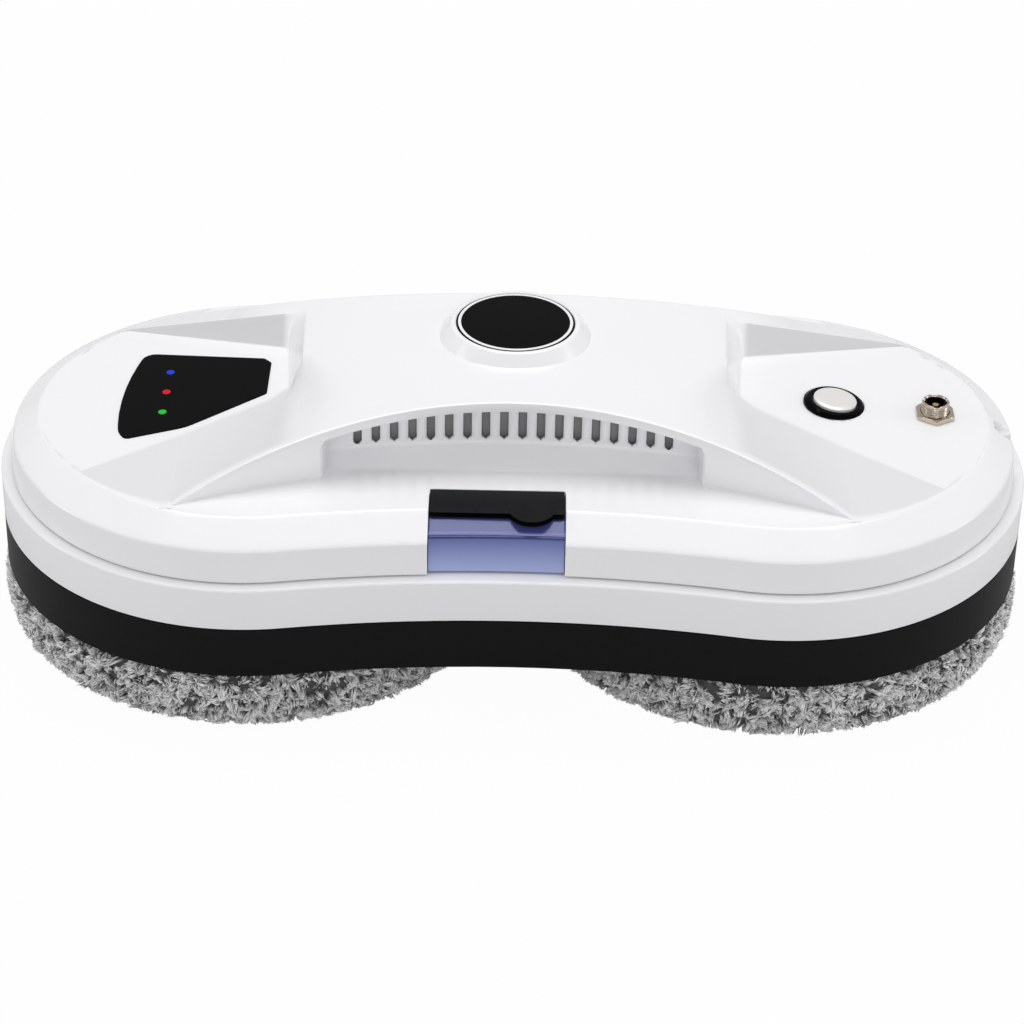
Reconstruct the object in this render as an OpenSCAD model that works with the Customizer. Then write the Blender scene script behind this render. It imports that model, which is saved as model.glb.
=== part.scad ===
// Window cleaning robot with two turning cleaning wheels.
// Millimetres, +Z up, origin on the floor under the middle of the body.
// +X runs through both wheels, and the water tank faces -Y.

/* [Body outline] */
// Distance from the middle of the body to each wheel's axis
lobe_x = 75; // [72:0.5:78]
// Radius of the body round each wheel
lobe_r = 72.4; // [71.5:0.1:73.5]
// Half of the body's width at its waist
waist_half = 65.65; // [64.5:0.05:66.5]
// Wall of the covers
wall = 2.2; // [1.8:0.1:2.4]

/* [Body heights] */
// Underside of the black base
base_z = 18.35; // [18.1:0.05:18.8]
// Top of the black base, where the white ring starts
ring_z = 33.5; // [32.5:0.1:34.5]
// Top of the white ring, where the top cover stands
step_z = 46.5; // [46:0.1:47]
// Top of the cover's upright side
shoulder_z = 56.5; // [56:0.1:57.2]
// Rim of the deck
rim_z = 61.8; // [61.6:0.05:62.4]
// Highest line of the crown
crown_z = 83; // [82:0.25:85]

/* [Body steps] */
// Width of the ledge between ring and cover
step_in = 3.2; // [2.8:0.1:3.6]
// Inset of the cover at its shoulder
shoulder_in = 4; // [3.8:0.1:4.4]
// Inset of the deck's rim
rim_in = 13.4; // [12.8:0.1:13.8]

/* [Crown] */
// Radius of the crown's arch, seen from the front
arch_r = 214; // [206:2:220]
// Radius of the crown's front and rear edges, seen from above
edge_r = 200; // [190:2:210]
// Half of the crown's depth at the middle
crown_half = 31.5; // [30.5:0.25:32.5]
// Where the crown ends and the side panels start
crown_end_x = 62; // [61:0.25:63]

/* [Air scoops] */
// Half of a scoop's length
scoop_half = 52; // [50:0.5:54]
// Distance of a scoop's back wall from the middle
scoop_y = 27; // [26.5:0.1:27.5]
// Height of a scoop's floor at its back wall
scoop_floor_z = 68; // [67:0.25:69]
// Thickness of the lip over a scoop
lip = 3; // [2.4:0.1:3.4]
// Number of vents in each scoop
vent_count = 18; // [12:2:18]
// Distance between vents
vent_pitch = 5.1; // [4.8:0.05:5.3]
// Width of a vent
vent_w = 2.4; // [2:0.1:2.8]
// Height of the vents' lower ends
vent_z = 69.6; // [69:0.1:70.4]

/* [Side panels] */
// Rise of a side panel per millimetre towards the middle
panel_slope = 0.05; // [0.04:0.005:0.06]
// Where a side panel meets the rim
panel_x = 119; // [117:0.5:121]
// Height of the front strap where its crease starts
crease_z = 68; // [66:0.25:70]
// Height of the rear strap at its inner corner
strap_z = 72; // [70:0.25:73]

/* [Indicators] */
// Thickness of the black lens
lens_t = 1.6; // [1.2:0.1:2]
// How far the lens stands out of the panel
lens_proud = 0.3; // [0.2:0.05:0.5]
// Radius of an indicator light
led_r = 1.3; // [1.1:0.05:1.5]

/* [Power button] */
// Place of the button along the body
button_x = 92.2; // [90:0.2:94]
// Place of the button across the body
button_y = 5; // [3:0.5:7]
// Radius of the button's black ring
bezel_r = 9; // [8.6:0.1:9.6]
// Radius of the button's cap
cap_r = 6.28; // [6:0.01:6.5]
// Travel of the button
button_travel = 1.2; // [0.8:0.1:1.3]

/* [Power inlet] */
// Place of the inlet along the body
jack_x = 120.9; // [119.5:0.1:121.5]
// Place of the inlet across the body
jack_y = 2.1; // [1.5:0.1:6]
// Radius of the threaded barrel
jack_r = 4; // [3.8:0.05:4.3]
// Height of the barrel's mouth
jack_z = 66.6; // [65.2:0.1:67]

/* [Badge] */
// Place of the badge across the body
badge_y = 8.5; // [7:0.25:10]
// Radius of the raised white boss at its foot
boss_r = 20.8; // [20:0.1:21.5]
// Radius of the black disc
badge_r = 16.9; // [16:0.1:17.5]
// Height of the badge's face above the floor
badge_z = 86.2; // [85.8:0.1:87]

/* [Water tank] */
// Left edge of the tank's window
tank_x0 = -23.6; // [-24.4:0.1:-23]
// Right edge of the tank's window
tank_x1 = 14.8; // [14.2:0.1:15.4]
// Distance of the window's back edge from the middle
tank_y = 42.6; // [42.3:0.1:43]
// Underside of the tank
tank_z = 37; // [36:0.25:38]
// Thickness of the tank's lid
lid_t = 1.8; // [1.6:0.05:2]
// Front edge of the lid
lid_y = 54.8; // [54.4:0.1:55.2]
// Radius of the lid's finger tab
tab_r = 6.1; // [5.6:0.1:6.4]

/* [Cleaning wheels] */
// Outer radius of a cleaning pad
pad_r = 74.8; // [74.4:0.1:74.8]
// Radius of the suction hole in a pad
pad_hole_r = 42; // [41.8:0.1:43]
// Top of a pad
pad_top_z = 17.6; // [17.3:0.05:17.7]
// Thickness of a pad under the wheel
pad_t = 5.2; // [5:0.1:5.4]
// Outer radius of a wheel
wheel_r = 70; // [69.5:0.1:70.2]
// Radius of the suction neck's bore
neck_r = 31; // [30.5:0.1:31.5]
// Wall of the suction neck
neck_wall = 3; // [2.8:0.1:3.2]

/* [Drive] */
// Tooth module of the wheel drive
gear_module = 1.5; // [1.48:0.01:1.52]
// Teeth on a wheel's gear
wheel_teeth = 64; // [64:4:64]
// Teeth on a motor's pinion
pinion_teeth = 12; // [12:4:12]
// Radius of a gearbox
gearbox_r = 12; // [11:0.25:12.5]
// Radius of a drive motor
motor_r = 10; // [9:0.25:10.5]

/* [Suction fan] */
// Outer radius of the fan's housing
fan_r = 34; // [33:0.25:34.5]
// Number of fan blades
blade_count = 9; // [7:1:11]
// Radius of the fan's inlet
inlet_r = 14; // [13:0.25:15]
// Radius of the fan's motor
fan_motor_r = 14; // [13:0.25:14.5]

/* [Fasteners] */
// Radius of a case screw
screw_r = 1.4; // [1.3:0.05:1.5]
// Radius of a screw boss
screw_boss_r = 3.5; // [3.2:0.1:3.6]

/* [Hidden] */
$fn = 96;
arc_fn = 360;

// Clearances and overruns
overrun = 1;
seat_gap = 0.3;
slide_gap = 0.07;
run_gap = 0.05;
snug_gap = 0.02;

// Body outline: the waist's arcs touch the round ends
waist_r = (lobe_x ^ 2 + waist_half ^ 2 - lobe_r ^ 2) / (2 * (lobe_r - waist_half));
waist_y = waist_half + waist_r;
waist_tuck = 3;

// Covers
ring_wall = 2.6;
ring_ledge_in = 7;
ring_ledge_t = 2.5;
lip_h = 2;
lip_w = 1.6;
base_wall = 2.5;

// Straps beside the panels: plan points on the right side
strap_tuck = 1;
strap_sink = 0.05;
strap_dip = 0.1;
panel_tuck = 1;
crease_start_y = 14.5;
crease_end_x = 121;
crease_end_y = 38;
wall_start_y = 34.5;
wall_end_x = 118;
wall_end_y = 42;
strap_start_x = crown_end_x - strap_tuck;
crease_start = [strap_start_x, crease_start_y];
crease_end = [crease_end_x, -crease_end_y];
wall_start = [strap_start_x, wall_start_y];
wall_end = [wall_end_x, wall_end_y];
strap_end_x = sqrt(arch_r ^ 2 - (arch_r - crown_z + rim_z) ^ 2);
strap_steps = 10;
strap_foot = 1.2;

// Air scoop
scoop_foot_y = 33;
scoop_out_y = 41;
scoop_sink = 0.1;
vent_top_gap = 1.4;

// Indicators, plan points on the left panel
led_x = -100;
led_mid_y = 4.4;
led_pitch = 11.2;
led_ys = [led_mid_y + led_pitch, led_mid_y, led_mid_y - led_pitch];
lens_place = [-112.6, -21];
lens_size = [41.6, 48];
lens_shares = [
    [0.1, 1], [0.95, 0.91], [1, 0.86], [1, 0.49],
    [0.48, 0.12], [0.09, 0], [0, 0.31], [0.015, 0.75]
];
lens_points = [for (p = lens_shares) [lens_place[0] + p[0] * lens_size[0],
    lens_place[1] + p[1] * lens_size[1]]];
led_board_size = [9, 34, 1.6];
led_board_drop = 2.6;

// Power button, measured from the panel along the button's axis
bezel_h = 1.2;
bezel_bevel = 0.8;
housing_r = 7.8;
housing_depth = 9.4;
cap_top = 2.2;
cap_depth = 3;
stem_r = 1.5;
stem_depth = 5.6;
switch_top = 5.1;
switch_half = 3;
switch_spare = 1.2;
switch_slot_depth = button_travel + switch_spare;
button_floor = 1;

// Power inlet
nut_r = 6.15;
nut_t = 1.5;
thread_relief = 0.5;
thread_clear = 0.2;
spot_r = 6.6;
flange_r = 5.6;
flange_t = 2.2;
jack_foot_z = 52;
jack_bore_r = 3;
jack_base_t = 1.5;
insulator_h = 3.5;
pin_r = 0.9;
pin_drop = 1.2;

// Badge
boss_top_r = 17.9;
inlay_r = 16;
inlay_w = 0.7;
badge_t = 1.2;
boss_foot_z = 82.2;

// Water tank
tank_gap = 0.3;
tank_wall = 1.6;
tank_front_y = 58;
tank_top_z = 59.9;
mouth_in = 3;
hinge_y = 43.9;
knuckle_r = 0.9;
hinge_pin_r = 0.6;
ear_w = 1.4;
tab_x = 5.5;
tab_y = 51.6;
gasket_t = 0.8;
gasket_w = 1.2;

// Cleaning wheels, radius and height from the wheel's own axis
plate_z = 6;
plate_t = 3;
rim_t = 3;
wheel_rim_z = 15;
drum_z = 19;
drum_top_z = 25;
drum_gap = 3;
drum_wall = 5.5;
gear_seat_in = 2;
cup_wall = 1.5;
drum_r = neck_r + neck_wall + drum_gap;
drum_out_r = drum_r + drum_wall;
gear_seat_r = drum_out_r - gear_seat_in;
cup_in_r = drum_out_r - cup_wall;
catch_z = 11.8;
retainer_in = 1.5;
retainer_r = cup_in_r - retainer_in;
retainer_t = 2.6;
retainer_gap = 0.3;
bush_inset = 0.8;
recess_r = 60;
recess_z = 27;
recess_wall = 2.5;
hook_clear = 3.5;
hook_edge = 4;
hook_r0 = drum_out_r + hook_clear;
hook_r1 = wheel_r - hook_edge;
pad_sole_in = 4.3;
pad_hem_in = 3.5;
pad_clear = 0.2;
pad_sole_r = pad_r - pad_sole_in;
pad_hem_r = wheel_r - pad_hem_in;
pad_side_r = wheel_r + pad_clear;
pad_hem_z = 15.3;
pad_bulge_z = 11;

// Drive
gear_z0 = 19;
gear_z1 = 25;
gear_gap = (wheel_teeth + pinion_teeth) * gear_module / 2;
pinion_turn = 45;
pinion_shaft_r = 2;
shaft_top_z = 40;
pocket_gap = 0.8;
pocket_wall = 2;
shaft_hole_r = 2.6;
gearbox_top_z = 42;
motor_top_z = 57.2;

// Suction path
duct_z1 = 40;
duct_wall = 1.6;
duct_end_r = 34;
duct_half = 22;
fan_z0 = 40.6;
fan_z1 = 54;
fan_wall = 1.6;
gasket_r = 22;
fan_slot_w = 6;
fan_slot_pairs = 6;
fan_slot_h = 6;
impeller_r = 29;
blade_t = 1.2;
blade_r0 = 9;
blade_lean = 35;
blade_z0 = 43.2;
plate_z0 = 50;
fan_shaft_r = 2;
fan_shaft_top = 65;
fan_motor_top = 70;
fan_shaft_hole = 2.6;

// Electronics
battery_size = [50, 36, 11];
battery_x = 77;
board_size = [58, 46, 1.6];
board_x = -79;
board_lift = 3;
board_post_r = 2.5;
board_post_in = 4;
chip_size_shares = [[0.28, 0.35, 1.5], [0.17, 0.3, 5], [0.14, 0.17, 3.8], [0.24, 0.13, 3.1]];
chip_place_shares = [[-0.2, -0.17], [0.24, -0.26], [0.24, 0.22], [-0.24, 0.3]];

// Water
pump_size = [24, 17, 16];
pump_place = [38, -40.5];
pump_z = 38;
pump_head_r = 7;
pump_head_h = 4;
post_r = 3;
hose_r = 1.5;
hose_z = 50;
nozzle_z = 57.8;
nozzle_r = 1.6;
nozzle_x0 = 130.6;
nozzle_x1 = 138.4;
nozzle_disc_r = 2.2;
nozzle_disc_x = 134.4;
nozzle_disc_t = 1.8;
orifice_r = 0.5;
notch_r = 2.9;
notch_x = 133.9;
notch_lift = 0.6;
tank_tube_z = 42;
tank_tube_y = -48;
hose_lobe_r = 56;
hose_back_y = -39;

// Fasteners
boss_join_z = 30;
boss_top_z = 57.2;
screw_head_r = 2.6;
screw_head_t = 1.4;
screw_top_z = 42;
thread_gap = 0.05;
shank_gap = 0.3;
front_screw_x = 32;
front_screw_y = 58;
rear_screw_x = 20;
rear_screw_y = 57;
waist_screws = [[front_screw_x, -front_screw_y], [rear_screw_x, rear_screw_y]];
lobe_screw_r = 63;
lobe_screw_angle = 60;
retainer_screw_r = 1;
retainer_head_r = 1.8;
retainer_head_t = 0.8;
retainer_screw_top = 18;
retainer_screw_count = 3;

sides = [-1, 1];

function panel_height(x) = rim_z + panel_slope * (panel_x - x);
function arch_height(x) = crown_z - arch_r + sqrt(arch_r ^ 2 - x ^ 2);
function edge_y(x) = crown_half + edge_r - sqrt(edge_r ^ 2 - x ^ 2);
function pinion_place(side) = [
    side * (lobe_x - gear_gap * cos(pinion_turn)), gear_gap * sin(pinion_turn)
];
function screw_places() = concat(
    [for (side = sides) for (p = waist_screws) [side * p[0], p[1]]],
    [for (side = sides) for (end = sides) [
        side * (lobe_x + lobe_screw_r * cos(lobe_screw_angle)),
        end * lobe_screw_r * sin(lobe_screw_angle)
    ]]
);

// The body's outline, set in by a distance
module outline(inset) {
    for (side = sides) translate([side * lobe_x, 0]) circle(r = lobe_r - inset, $fn = arc_fn);
    difference() {
        polygon([[lobe_x, 0], [0, waist_y], [-lobe_x, 0], [0, -waist_y]]);
        for (side = sides) translate([0, side * waist_y]) circle(r = waist_r + inset, $fn = 2 * arc_fn);
    }
}

// A straight walled slab of the outline
module slab(z0, z1, inset) {
    translate([0, 0, z0]) linear_extrude(z1 - z0) outline(inset);
}

// A slab whose inset changes from in0 at its foot to in1 at its top
module tier(z0, z1, in0, in1) {
    for (side = sides) translate([side * lobe_x, 0, z0])
        cylinder(h = z1 - z0, r1 = lobe_r - in0, r2 = lobe_r - in1, $fn = arc_fn);
    difference() {
        translate([0, 0, z0]) linear_extrude(z1 - z0) polygon([
            [lobe_x - waist_tuck, 0], [0, waist_y], [waist_tuck - lobe_x, 0], [0, -waist_y]
        ]);
        for (side = sides) translate([0, side * waist_y, z0])
            cylinder(h = z1 - z0, r1 = waist_r + in0, r2 = waist_r + in1, $fn = 2 * arc_fn);
    }
}

// The arch of the crown between the panels, t inside its surface
module crown(t) {
    intersection() {
        translate([0, 0, crown_z - arch_r]) rotate([90, 0, 0])
            cylinder(r = arch_r - t, h = 2 * lobe_r, center = true, $fn = 2 * arc_fn);
        translate([0, 0, shoulder_z]) linear_extrude(crown_z - shoulder_z + overrun) difference() {
            square([2 * (crown_end_x - t), 2 * lobe_r], center = true);
            for (end = sides) translate([0, end * (crown_half + edge_r)])
                circle(r = edge_r + t, $fn = 2 * arc_fn);
        }
    }
}

// A strap from the crown down to the rim, t inside its surface. Its top is ruled
// from a straight line, from and to in plan with heights z0 and z1, to the crown's edge.
module strap(side, end, from, to, z0, z1, t) {
    turn = side * end > 0;
    steps = [for (i = [0:strap_steps]) i / strap_steps];
    line = [for (u = steps) [
        side * (from[0] + (to[0] - from[0]) * u),
        from[1] + (to[1] - from[1]) * u + end * t,
        z0 + (z1 - strap_dip - z0) * u - t
    ]];
    edge = [for (u = steps) let (x = strap_start_x + (strap_end_x - strap_start_x) * u) [
        side * x, end * (edge_y(x) - strap_sink - t), arch_height(x) - strap_sink - strap_dip * u - t
    ]];
    tops = concat(line, edge);
    feet = [for (p = tops) [p[0], p[1], rim_z - strap_foot - t]];
    n = strap_steps + 1;
    walls = concat([for (i = [0:n - 1]) i], [for (i = [n - 1:-1:0]) n + i]);
    m = len(walls);
    flat = [for (i = [0:n - 2]) each [[i, i + 1, n + i], [i + 1, n + i + 1, n + i]]];
    upright = [for (k = [0:m - 1]) let (a = walls[k], b = walls[(k + 1) % m]) each [
        [a, a + 2 * n, b], [b, a + 2 * n, b + 2 * n]
    ]];
    under = [for (f = flat) [f[2] + 2 * n, f[1] + 2 * n, f[0] + 2 * n]];
    faces = concat(flat, upright, under);
    polyhedron(
        points = concat(tops, feet),
        faces = turn ? [for (f = faces) [f[2], f[1], f[0]]] : faces
    );
}

// The four straps, front ones with a crease and rear ones beside the panel's wall
module front_straps(t) {
    for (side = sides) strap(side, -1, crease_start, crease_end, crease_z, rim_z, t);
}

module rear_straps() {
    for (side = sides) strap(side, 1, wall_start, wall_end, strap_z, rim_z, 0);
}

// The low wedge that each side panel makes above the deck
module panels() {
    for (side = sides) intersection() {
        translate([0, 0, shoulder_z]) linear_extrude(crown_z - shoulder_z) polygon([
            [side * (strap_start_x - panel_tuck), wall_start_y + wall],
            [side * wall_end_x, wall_end_y - panel_tuck],
            [side * (lobe_x + lobe_r - rim_in), 0],
            [side * crease_end_x, panel_tuck - crease_end_y],
            [side * (strap_start_x - panel_tuck), crease_start_y - wall]
        ]);
        rotate([90, 0, 0]) linear_extrude(2 * lobe_r, center = true) polygon([
            [0, shoulder_z], [side * panel_x, shoulder_z], [side * panel_x, rim_z],
            [0, panel_height(0)]
        ]);
    }
}

// One air scoop, grown by t: a hollow under the crown's edge
module scoop(end, t) {
    intersection() {
        translate([0, 0, crown_z - arch_r]) rotate([90, 0, 0])
            cylinder(r = arch_r - lip + t, h = 2 * lobe_r, center = true, $fn = 2 * arc_fn);
        rotate([90, 0, 90]) linear_extrude(2 * (scoop_half + t), center = true) polygon([
            [end * (scoop_y - t), scoop_floor_z - t],
            [end * scoop_foot_y, rim_z - scoop_sink - t / 2],
            [end * scoop_out_y, rim_z - scoop_sink - t / 2],
            [end * scoop_out_y, crown_z],
            [end * (scoop_y - t), crown_z]
        ]);
    }
}

// A row of vents through one scoop's back wall
module vents(end) {
    intersection() {
        for (i = [0:vent_count - 1]) {
            x = (i - (vent_count - 1) / 2) * vent_pitch;
            translate([x, end * scoop_y, vent_z]) rotate([90, 0, 0])
                linear_extrude(2 * wall + overrun, center = true) {
                    translate([-vent_w / 2, vent_w / 2]) square([vent_w, crown_z - vent_z]);
                    translate([0, vent_w / 2]) circle(d = vent_w);
                }
        }
        translate([0, 0, crown_z - arch_r]) rotate([90, 0, 0])
            cylinder(r = arch_r - lip - vent_top_gap, h = 2 * lobe_r, center = true, $fn = 2 * arc_fn);
    }
}

// The block of the tank's window, with its edges set in by t
module tank_block(z0, z1, y0, y1, t) {
    translate([tank_x0 + t, -y1, z0]) cube([tank_x1 - tank_x0 - 2 * t, y1 - y0, z1 - z0]);
}

// Puts a piece on the right panel, with +Z along the button's axis
module on_button() {
    translate([button_x, button_y, panel_height(button_x)]) rotate([0, atan(panel_slope), 0]) children();
}

module top_cover() {
    color("white") difference() {
        union() {
            difference() {
                union() {
                    tier(step_z, shoulder_z, step_in, shoulder_in);
                    tier(shoulder_z, rim_z, shoulder_in, rim_in);
                    crown(0);
                    front_straps(0);
                    rear_straps();
                    panels();
                }
                difference() {
                    union() {
                        tier(step_z - overrun, shoulder_z, step_in + wall, shoulder_in + wall);
                        tier(shoulder_z, rim_z - wall, shoulder_in + wall, rim_in);
                        crown(wall);
                        front_straps(wall);
                    }
                    for (end = sides) scoop(end, wall);
                }
                for (end = sides) scoop(end, 0);
            }
            for (p = screw_places()) translate([p[0], p[1], boss_join_z + seat_gap])
                cylinder(r = screw_boss_r, h = boss_top_z - boss_join_z - seat_gap);
        }
        for (end = sides) vents(end);
        tank_block(step_z - overrun, crown_z, tank_y, waist_half, 0);
        for (p = screw_places()) translate([p[0], p[1], 0])
            cylinder(r = screw_r + thread_gap, h = screw_top_z + overrun);
        lens_recess();
        on_button() translate([0, 0, -housing_depth - overrun])
            cylinder(r = housing_r + snug_gap, h = housing_depth + 2 * overrun);
        translate([jack_x, jack_y, shoulder_z]) cylinder(r = jack_r + snug_gap, h = crown_z - rim_z);
        translate([jack_x, jack_y, rim_z]) cylinder(r = spot_r, h = nut_t);
        translate([notch_x, 0, nozzle_z + notch_lift])
            rotate([0, 90, 0]) cylinder(r = notch_r, h = lobe_r - lobe_x + notch_x);
    }
}

// The recess of the indicator lens and the light holes under it
module lens_recess() {
    intersection() {
        translate([0, 0, shoulder_z]) linear_extrude(crown_z - shoulder_z) polygon(lens_points);
        rotate([90, 0, 0]) linear_extrude(2 * lobe_r, center = true) polygon([
            [0, panel_height(0) + lens_proud - lens_t], [-panel_x, rim_z + lens_proud - lens_t],
            [-panel_x, crown_z], [0, crown_z]
        ]);
    }
    for (y = led_ys) translate([led_x, y, shoulder_z])
        cylinder(r = led_r + seat_gap, h = rim_z - shoulder_z);
}

module middle_ring() {
    color("gainsboro") difference() {
        union() {
            slab(ring_z, step_z, 0);
            slab(ring_z - lip_h, ring_z, base_wall + run_gap);
        }
        slab(ring_z - lip_h - overrun, ring_z, base_wall + run_gap + lip_w);
        slab(ring_z - overrun, step_z - ring_ledge_t, ring_wall + lip_w);
        slab(ring_z, step_z + overrun, ring_ledge_in);
        for (p = screw_places()) translate([p[0], p[1], ring_z - lip_h - overrun])
            cylinder(r = screw_boss_r + seat_gap, h = step_z - ring_z + lip_h + 2 * overrun);
    }
}

module base_shell() {
    color("dimgray") difference() {
        union() {
            difference() {
                slab(base_z, ring_z, 0);
                slab(base_z + base_wall, ring_z + overrun, base_wall);
            }
            for (side = sides) {
                translate([side * lobe_x, 0, base_z])
                    cylinder(r = recess_r + recess_wall, h = recess_z + recess_wall - base_z);
                translate([pinion_place(side)[0], pinion_place(side)[1], base_z])
                    cylinder(r = pocket_r() + pocket_wall, h = recess_z + recess_wall - base_z);
            }
            for (p = screw_places()) translate([p[0], p[1], base_z])
                cylinder(r = screw_boss_r, h = boss_join_z - base_z);
            for (x = [tank_x0, tank_x1])
                translate([(x + tank_mid()) / 2, -tank_front_y + 2 * post_r, base_z])
                cylinder(r = post_r, h = tank_z - base_z);
            for (dx = sides) translate([pump_place[0] + dx * pump_size[0] / 3, pump_place[1], recess_z])
                cylinder(r = post_r, h = pump_z - recess_z);
        }
        for (side = sides) {
            difference() {
                union() {
                    translate([side * lobe_x, 0, base_z - overrun])
                        cylinder(r = recess_r, h = recess_z - base_z + overrun);
                    translate([pinion_place(side)[0], pinion_place(side)[1], base_z - overrun])
                        cylinder(r = pocket_r(), h = recess_z - base_z + overrun);
                }
                translate([side * lobe_x, 0, 0]) cylinder(r = neck_r + neck_wall, h = recess_z);
            }
            translate([side * lobe_x, 0, 0]) cylinder(r = neck_r, h = ring_z);
            translate([pinion_place(side)[0], pinion_place(side)[1], 0])
                cylinder(r = shaft_hole_r, h = ring_z);
        }
        for (p = screw_places()) translate([p[0], p[1], 0]) {
            cylinder(r = screw_r + shank_gap, h = ring_z);
            cylinder(r = screw_head_r + shank_gap, h = base_z + screw_head_t);
        }
    }
    color("dimgray") for (side = sides) difference() {
        translate([side * lobe_x, 0, catch_z - retainer_gap])
            cylinder(r = neck_r + neck_wall, h = recess_z - catch_z + retainer_gap);
        translate([side * lobe_x, 0, 0]) cylinder(r = neck_r, h = ring_z);
        retainer_screw_holes(side);
    }
}

function pocket_r() = pinion_teeth * gear_module / 2 + gear_module + pocket_gap;
function tank_mid() = (tank_x0 + tank_x1) / 2;

module retainer_screw_holes(side) {
    for (i = [0:retainer_screw_count - 1]) translate([side * lobe_x, 0, 0])
        rotate([0, 0, i * 360 / retainer_screw_count])
        translate([neck_r + neck_wall / 2, 0, 0])
            cylinder(r = retainer_screw_r + snug_gap, h = retainer_screw_top);
}

module badge_boss() {
    color("whitesmoke") difference() {
        translate([0, badge_y, boss_foot_z])
            cylinder(r1 = boss_r, r2 = boss_top_r, h = badge_z - boss_foot_z);
        translate([0, badge_y, badge_z - badge_t]) cylinder(r = badge_r + snug_gap, h = badge_t + overrun);
        translate([0, 0, crown_z - arch_r]) rotate([90, 0, 0])
            cylinder(r = arch_r, h = 2 * lobe_r, center = true, $fn = 2 * arc_fn);
    }
}

module badge_disc() {
    color("black") translate([0, badge_y, badge_z - badge_t]) difference() {
        cylinder(r = badge_r, h = badge_t);
        translate([0, 0, badge_t / 2]) difference() {
            cylinder(r = inlay_r + inlay_w / 2, h = badge_t);
            translate([0, 0, -overrun]) cylinder(r = inlay_r - inlay_w / 2, h = badge_t + 2 * overrun);
        }
    }
}

module badge_ring() {
    color("white") translate([0, badge_y, badge_z - badge_t / 2]) difference() {
        cylinder(r = inlay_r + inlay_w / 2 - snug_gap, h = badge_t / 2);
        translate([0, 0, -overrun])
            cylinder(r = inlay_r - inlay_w / 2 + snug_gap, h = badge_t + 2 * overrun);
    }
}

module indicator_lens() {
    color("black") difference() {
        intersection() {
            translate([0, 0, shoulder_z]) linear_extrude(crown_z - shoulder_z) polygon(lens_points);
            rotate([90, 0, 0]) linear_extrude(2 * lobe_r, center = true) polygon([
                [0, panel_height(0) + lens_proud - lens_t], [-panel_x, rim_z + lens_proud - lens_t],
                [-panel_x, rim_z + lens_proud], [0, panel_height(0) + lens_proud]
            ]);
        }
        for (y = led_ys) translate([led_x, y, shoulder_z])
            cylinder(r = led_r + snug_gap, h = crown_z - shoulder_z);
    }
}

module led(i) {
    translate([led_x, led_ys[i], led_board_z()])
        cylinder(r = led_r, h = panel_height(-led_x) + lens_proud - led_board_z());
}

function led_board_z() = rim_z - led_board_drop;

module led_blue() { color("blue") led(0); }
module led_red() { color("red") led(1); }
module led_green() { color("lime") led(2); }

module led_board() {
    color("darkgreen") translate([
        led_x - led_board_size[0] / 2, led_ys[1] - led_board_size[1] / 2, led_board_z() - led_board_size[2]
    ]) cube(led_board_size);
}

module button_housing() {
    color("black") on_button() difference() {
        union() {
            cylinder(r = bezel_r, h = bezel_h - bezel_bevel);
            translate([0, 0, bezel_h - bezel_bevel])
                cylinder(r1 = bezel_r, r2 = bezel_r - bezel_bevel, h = bezel_bevel);
            translate([0, 0, -housing_depth]) cylinder(r = housing_r, h = housing_depth);
        }
        translate([0, 0, button_floor - housing_depth])
            cylinder(r = cap_r + slide_gap, h = housing_depth + bezel_h);
    }
}

module power_button() {
    color("silver") on_button() {
        translate([0, 0, -cap_depth]) cylinder(r = cap_r, h = cap_depth + cap_top - bezel_bevel);
        translate([0, 0, cap_top - bezel_bevel])
            cylinder(r1 = cap_r, r2 = cap_r - bezel_bevel, h = bezel_bevel);
        translate([0, 0, -stem_depth]) cylinder(r = stem_r, h = stem_depth);
    }
}

module button_switch() {
    color("darkslategray") on_button() difference() {
        translate([-switch_half, -switch_half, button_floor - housing_depth])
            cube([2 * switch_half, 2 * switch_half, housing_depth - button_floor - switch_top]);
        translate([0, 0, -switch_top - switch_slot_depth])
            cylinder(r = stem_r + slide_gap, h = switch_slot_depth + overrun);
    }
}

// Where the inlet's free end begins, just above its nut
function thread_z() = rim_z + nut_t + thread_clear;

module dc_jack() {
    color("tan") translate([jack_x, jack_y, 0]) difference() {
        union() {
            translate([0, 0, jack_foot_z]) cylinder(r = jack_r - thread_relief, h = jack_z - jack_foot_z);
            translate([0, 0, thread_z()]) cylinder(r = jack_r, h = jack_z - thread_z());
            translate([0, 0, rim_z - wall - flange_t]) cylinder(r = flange_r, h = flange_t);
        }
        translate([0, 0, jack_foot_z + jack_base_t]) cylinder(r = jack_bore_r, h = jack_z - jack_foot_z);
        cylinder(r = pin_r + snug_gap, h = jack_z);
    }
}

module jack_nut() {
    color("tan") translate([jack_x, jack_y, rim_z]) difference() {
        cylinder(r = nut_r, h = nut_t, $fn = 6);
        translate([0, 0, -overrun]) cylinder(r = jack_r - thread_relief + snug_gap, h = nut_t + 2 * overrun);
    }
}

module jack_insulator() {
    color("dimgray") translate([jack_x, jack_y, jack_foot_z + jack_base_t]) difference() {
        cylinder(r = jack_bore_r - snug_gap, h = insulator_h);
        translate([0, 0, -overrun]) cylinder(r = pin_r + snug_gap, h = insulator_h + 2 * overrun);
    }
}

module jack_pin() {
    color("gold") translate([jack_x, jack_y, jack_foot_z])
        cylinder(r = pin_r, h = jack_z - jack_foot_z - pin_drop);
}

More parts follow.
